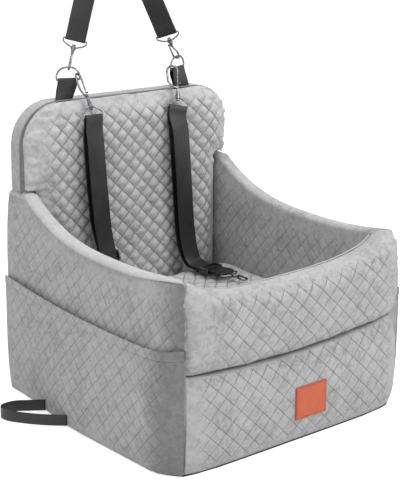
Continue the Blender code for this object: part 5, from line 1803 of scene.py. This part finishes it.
        def corners(points: np.ndarray, normals: np.ndarray) -> np.ndarray:
            """How far the gathers show, round the top corners.

            Args:
                points: The vertices' places.
                normals: Their normals.

            Returns:
                One share for each vertex.
            """
            inside = self.depth_inside(points[:, [0, 2]], 0.0)
            side = self.gather_side(np.abs(points[:, 0])) * self.gather_foot(points[:, 2])
            border = self.gather_end(inside) * self.gather_border(inside)
            return side * border * self.gather_facing(normals[:, 1])

        quilting = Quilting(PAD_DIAMOND, (0, 2), self.quilt_depth, held)
        gathers = Wrinkles(size=0.010, depth=0.0050, held=corners, stretch=(4.0, 1.0, 1.0))
        waves = Wrinkles(size=0.070, depth=0.0040, held=held, stretch=(1.0, 1.0, 2.0))
        dress_cloth(made, quilting, gathers, waves, fill=self.pad_fill)

    def build_piping(self) -> None:
        """The cord in the seam between the shell and the pad."""
        path = [Vector((x, self.seam_y, z)) for x, z in self.outline(self.piping_inset)[3:-1]]
        mesh = as_mesh(cord_tube(path, self.piping_radius), "piping")
        add_piece("back_seam_piping", mesh, self.finishes.grey_thread, "side_cloth", "seat")

    def build(self) -> None:
        """Builds the back."""
        self.build_shell()
        self.build_pad()
        self.build_piping()


@dataclass
class Cushion:
    """The seat cushion: crowned, drawn in between its corners and quilted on top."""

    shape: BoxShape
    finishes: Wardrobe
    low: float = 0.1303
    edge_top: float = 0.181
    crown: float = 0.005
    crown_run: float = 0.07
    rear: float = 0.1868
    start: float = 0.004
    corner: float = 0.030
    rounding: float = 0.008
    edge_angle: float = math.radians(60)
    voxel: float = 0.005
    swell: float = 0.006
    top_gap: float = 0.0030
    fill: float = 0.6
    quilt_depth: float = 0.0032
    quilt_facing: Fade = Fade(0.4, 0.4)
    quilt_border: Fade = Fade(0.012, 0.02)

    def border(self, points: np.ndarray) -> np.ndarray:
        """How far points lie inside the cushion's sides.

        Args:
            points: Rows of (x, y, z).

        Returns:
            One distance for each row.
        """
        half = self.shape.cabin_half - CLEARANCE - self.start
        ahead = points[:, 1] - self.shape.cabin_front - self.start
        behind = self.rear - self.start / 2 - points[:, 1]
        return np.minimum(half - np.abs(points[:, 0]), np.minimum(ahead, behind))

    def blank(self) -> bmesh.types.BMesh:
        """The cushion before it is stuffed: a block with round corners and softer rims.

        Returns:
            The block.
        """
        box = self.shape
        low = Vector((-(box.cabin_half - CLEARANCE - self.start), box.cabin_front + self.start, self.low))
        high = Vector((-low.x, self.rear - self.start / 2, self.edge_top))
        shape = bmesh.new()
        sized = Matrix.Translation((low + high) / 2) @ Matrix.Diagonal((*(high - low), 1.0))
        bmesh.ops.create_cube(shape, size=1.0, matrix=sized)
        posts = [edge for edge in shape.edges if abs(edge.verts[0].co.z - edge.verts[1].co.z) > self.rounding]
        round_edges(shape, posts, self.corner, 6)
        rims = [edge for edge in shape.edges if abs(edge.verts[0].co.z - edge.verts[1].co.z) < CLEARANCE]
        rims = [edge for edge in rims if edge.calc_face_angle(0.0) > self.edge_angle]
        round_edges(shape, rims, self.rounding, 4)
        return shape

    def build(self) -> None:
        """Builds the cushion."""
        mesh = as_mesh(self.blank(), "cushion")
        made = add_piece("quilted_seat_cushion", mesh, self.finishes.pad, "light_cloth", "seat", "seat_cushion")
        modified(made, "REMESH", mode="VOXEL", voxel_size=self.voxel)
        points = points_of(made.data)
        share = np.clip((points[:, 2] - self.low) / (self.edge_top - self.low), 0.0, 1.0)
        inward = np.clip(self.border(points) / self.crown_run, 0.0, 1.0)
        points[:, 2] += self.crown * np.sin(np.pi / 2 * inward) * share
        set_points(made.data, points)
        Stuffing(self.swell).fill(made)
        low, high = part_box("seat_cushion")
        stretch_to(made, low, high - Vector((0.0, 0.0, self.top_gap)))

        def held(points: np.ndarray, normals: np.ndarray) -> np.ndarray:
            """How firmly the quilting holds: on top, inside the plain border."""
            return self.quilt_facing(normals[:, 2]) * self.quilt_border(self.border(points))

        quilting = Quilting(PAD_DIAMOND, (0, 1), self.quilt_depth, held)
        dress_cloth(made, quilting, Wrinkles(size=0.08, depth=0.0030, held=held), fill=self.fill)


@dataclass
class Underside:
    """The grip cloth under the box, with its foam and board."""

    finishes: Wardrobe
    edge_angle: float = math.radians(60)
    grip_rounding: float = 0.0008
    board_rounding: float = 0.0008
    foam_rounding: float = 0.0020

    def build(self) -> None:
        """Dresses the underside and what lies in the box."""
        shape = bmesh.new()
        shape.from_mesh(frame["nodes"]["base_sheet"].data)
        bmesh.ops.remove_doubles(shape, verts=shape.verts, dist=WELD)
        rims = [edge for edge in shape.edges if edge.calc_face_angle(0.0) > self.edge_angle]
        round_edges(shape, rims, self.grip_rounding, 2, clamp=False)
        mesh = as_mesh(shape, "underside")
        made = add_piece("grip_underside", mesh, self.finishes.grip, "grip_cloth", "seat", "base_sheet")
        lay_cloth(made.data)
        dress_node("base_board", self.finishes.board, self.board_rounding)
        dress_node("base_foam", self.finishes.foam, self.foam_rounding)


# Straps and metal


@dataclass
class Ribbon:
    """Flat woven webbing along a route."""

    name: str
    node: str
    body: str
    route: Route
    width: float = 0.038
    thickness: float = 0.0016
    step: float = 0.0035
    flat_shares: tuple[float, ...] = (-0.92, -0.5, 0.0, 0.5, 0.92)
    edge_shares: tuple[float, float] = (0.985, 0.7)

    def smooth(self) -> tuple[list[Vector], list[Vector]]:
        """A smooth curve through the route, in short steps.

        Returns:
            The points, and the width's direction at each.
        """
        knots = [Vector(point) * MM for _, *points in self.route for point in points]
        wides = [Vector(wide) for wide, *points in self.route for _ in points]
        gaps = [max((b - a).length, CLEARANCE) for a, b in zip(knots, knots[1:])]
        ways = []
        for index in range(len(knots)):
            if index in (0, len(knots) - 1):
                near = min(index, len(gaps) - 1)
                ways.append((knots[near + 1] - knots[near]) / gaps[near])
                continue
            before, after = gaps[index - 1], gaps[index]
            arrive = (knots[index] - knots[index - 1]) / before
            leave = (knots[index + 1] - knots[index]) / after
            ways.append((arrive * after + leave * before) / (before + after))
        points, across = [], []
        for index, gap in enumerate(gaps):
            for t in spaced(max(1, round(gap / self.step)))[:-1]:
                point = (2 * t**3 - 3 * t**2 + 1) * knots[index] + (t**3 - 2 * t**2 + t) * gap * ways[index]
                point += (3 * t**2 - 2 * t**3) * knots[index + 1] + (t**3 - t**2) * gap * ways[index + 1]
                points.append(point)
                across.append(wides[index].lerp(wides[index + 1], t).normalized())
        return points + [knots[-1]], across + [wides[-1]]

    def profile(self) -> list[tuple[float, float]]:
        """The webbing's section, flat with soft edges.

        Returns:
            The (across, out) points in order.
        """
        half, deep = self.width / 2, self.thickness / 2
        wide, thick = half * self.edge_shares[0], deep * self.edge_shares[1]
        found = [(share * half, deep) for share in self.flat_shares] + [(wide, thick), (half, 0.0), (wide, -thick)]
        found += [(share * half, -deep) for share in reversed(self.flat_shares)]
        return found + [(-wide, -thick), (-half, 0.0), (-wide, thick)]

    def build(self, finish: Material) -> None:
        """Builds the webbing, with the cloth's coordinates along and round it.

        Args:
            finish: The webbing's material.
        """
        points, across = self.smooth()
        profile = self.profile()
        sections = []
        for index, (point, wide) in enumerate(zip(points, across)):
            along = (points[min(index + 1, len(points) - 1)] - points[max(index - 1, 0)]).normalized()
            out = along.cross(wide).normalized()
            sections.append([point + wide * side + out * away for side, away in profile])
        length = sum((b - a).length for a, b in zip(points, points[1:]))
        mesh = as_mesh(wrapped(sections), self.name)
        layer = mesh.uv_layers[CLOTH_UV]
        laid = np.empty(len(layer.data) * 2)
        layer.data.foreach_get("uv", laid)
        laid = laid.reshape(-1, 2) * (length, 2 * (self.width + self.thickness))
        layer.data.foreach_set("uv", laid.reshape(-1))
        log.info("%s: %.3f m of webbing", self.name, length)
        add_piece(self.name, mesh, finish, "webbing", self.body, self.node)


@dataclass
class Harness:
    """The webbing, rings, snap hooks and adjusters."""

    finishes: Wardrobe
    voxel: float = 0.0005
    adjuster_rounding: float = 0.0005
    ribbons: list[Ribbon] = field(default_factory=lambda: [
        Ribbon("left_tab_webbing", "left_ring_tab", "seat", LEFT_TAB_ROUTE),
        Ribbon("right_tab_webbing", "right_ring_tab", "seat", RIGHT_TAB_ROUTE),
        Ribbon("carry_webbing", "carry_strap", "carry_strap", CARRY_ROUTE),
        Ribbon("carry_webbing_hem", "carry_strap_hem", "carry_adjuster", CARRY_HEM_ROUTE),
        Ribbon("left_webbing", "left_tether_webbing", "left_tether", LEFT_TETHER_ROUTE),
        Ribbon("left_webbing_hem", "left_tether_hem", "left_tether_adjuster", LEFT_HEM_ROUTE),
        Ribbon("right_webbing", "right_tether_webbing", "right_tether", RIGHT_TETHER_ROUTE),
        Ribbon("right_webbing_hem", "right_tether_hem", "right_tether_adjuster", RIGHT_HEM_ROUTE),
        Ribbon("loop_webbing", "side_strap_loop", "seat", SIDE_LOOP_ROUTE, width=0.022),
    ])

    def build(self) -> None:
        """Lays the webbing and dresses the metal."""
        for ribbon in self.ribbons:
            ribbon.build(self.finishes.webbing)
        for name in sorted(frame["nodes"]):
            if name.endswith("_adjuster"):
                dress_node(name, self.finishes.painted, self.adjuster_rounding)
            elif name.endswith(("_d_ring", "_frame", "_hook", "_gate")):
                dress_node(name, self.finishes.plate, voxel=self.voxel)


# Studio


@dataclass
class Studio:
    """The camera at the photograph's angle, a pale floor and soft light."""

    place: Point = (-2.0525, -2.4274, 1.3452)
    yaw: float = math.radians(-40.22)
    pitch: float = math.radians(17.97)
    roll: float = math.radians(0.4)
    lens: float = 135.0
    sensor: float = 36.0
    clip: tuple[float, float] = (0.05, 60.0)
    target: Point = (0.0, 0.0, 0.3)
    lamps: tuple[tuple[str, Point, float, float], ...] = (
        ("key_lamp", (1.2, -2.2, 2.3), 1.8, 46.0),
        ("top_lamp", (0.0, 0.1, 2.6), 1.6, 26.0),
        ("fill_lamp", (-2.6, -0.6, 1.4), 1.6, 12.0),
    )
    floor_reach: float = 12.0
    floor_glow: float = 0.62
    ambient: float = 0.42

    def build_camera(self) -> None:
        """The camera."""
        data = bpy.data.cameras.new("camera")
        data.lens = self.lens
        data.sensor_width = self.sensor
        data.clip_start, data.clip_end = self.clip
        made = bpy.data.objects.new("camera", data)
        turned = Matrix.Rotation(self.yaw, 4, "Z") @ Matrix.Rotation(math.pi / 2 - self.pitch, 4, "X")
        made.matrix_world = Matrix.Translation(self.place) @ turned @ Matrix.Rotation(self.roll, 4, "Z")
        bpy.context.scene.collection.objects.link(made)
        bpy.context.scene.camera = made

    def build_lamps(self) -> None:
        """Soft square lamps that look at the seat, each with its place, size and power."""
        for name, place, size, power in self.lamps:
            data = bpy.data.lights.new(name, "AREA")
            data.shape = "SQUARE"
            data.size = size
            data.energy = power
            made = bpy.data.objects.new(name, data)
            made.location = place
            made.rotation_euler = (Vector(self.target) - Vector(place)).to_track_quat("-Z", "Y").to_euler()
            bpy.context.scene.collection.objects.link(made)

    def seen(self, tree: NodeTree) -> NodeSocket:
        """1 where the camera looks at a surface, or where gloss shows it, and otherwise 0."""
        camera = add_node(tree, "LightPath", output="Is Camera Ray")
        return add_node(tree, "Math", camera, camera.node.outputs["Is Glossy Ray"], operation="MAXIMUM")

    def build_floor(self) -> None:
        """A plain pale floor, which the camera sees near white outside the seat's shadow."""
        shape = bmesh.new()
        bmesh.ops.create_grid(shape, x_segments=1, y_segments=1, size=self.floor_reach)
        mesh = as_mesh(shape, "floor")
        white = linear("#ffffff")
        recipe = Recipe("paper_backdrop_matt", Base_Color=linear("#f2f2f2"), Roughness=0.95,
                        Specular_IOR_Level=0.1, Emission_Color=white)
        glow = recipe.add("Math", self.seen(recipe.tree), self.floor_glow, operation="MULTIPLY")
        recipe.tree.links.new(glow, recipe.shader.inputs["Emission Strength"])
        mesh.materials.append(recipe.material)
        made = bpy.data.objects.new("floor", mesh)
        bpy.context.scene.collection.objects.link(made)

    def build_world(self) -> None:
        """A white background for the camera and for gloss, and a soft grey light for the rest."""
        world = bpy.data.worlds.new("studio")
        bpy.context.scene.world = world
        world.use_nodes = True
        tree = world.node_tree
        through = add_node(tree, "LightPath", output="Is Transmission Ray")
        seen = add_node(tree, "Math", self.seen(tree), through, operation="MAXIMUM")
        strength = add_node(tree, "MapRange", Value=seen, To_Min=self.ambient, To_Max=1.0)
        background = tree.nodes["Background"]
        background.inputs["Color"].default_value = linear("#ffffff")
        tree.links.new(strength, background.inputs["Strength"])

    def build(self) -> None:
        """Builds the studio."""
        self.build_camera()
        self.build_floor()
        self.build_world()
        self.build_lamps()
        bpy.context.scene.view_settings.view_transform = "Standard"


def main() -> None:
    """Builds the scene in order."""
    logging.basicConfig(level=logging.INFO, format="%(message)s")
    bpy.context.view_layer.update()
    finishes = Wardrobe()
    box = BoxShape()
    parts: list[tuple[str, Any]] = [
        ("back", Back(box, finishes)),
        ("seat cushion", Cushion(box, finishes)),
        ("front", Front(box, finishes)),
        ("left wall", SideWall(Side.LEFT, box, finishes)),
        ("right wall", SideWall(Side.RIGHT, box, finishes)),
        ("underside", Underside(finishes)),
        ("harness", Harness(finishes)),
        ("studio", Studio()),
    ]
    for name, part in parts:
        part.build()
        log.info("built the %s", name)


if __name__ == "__main__":
    main()
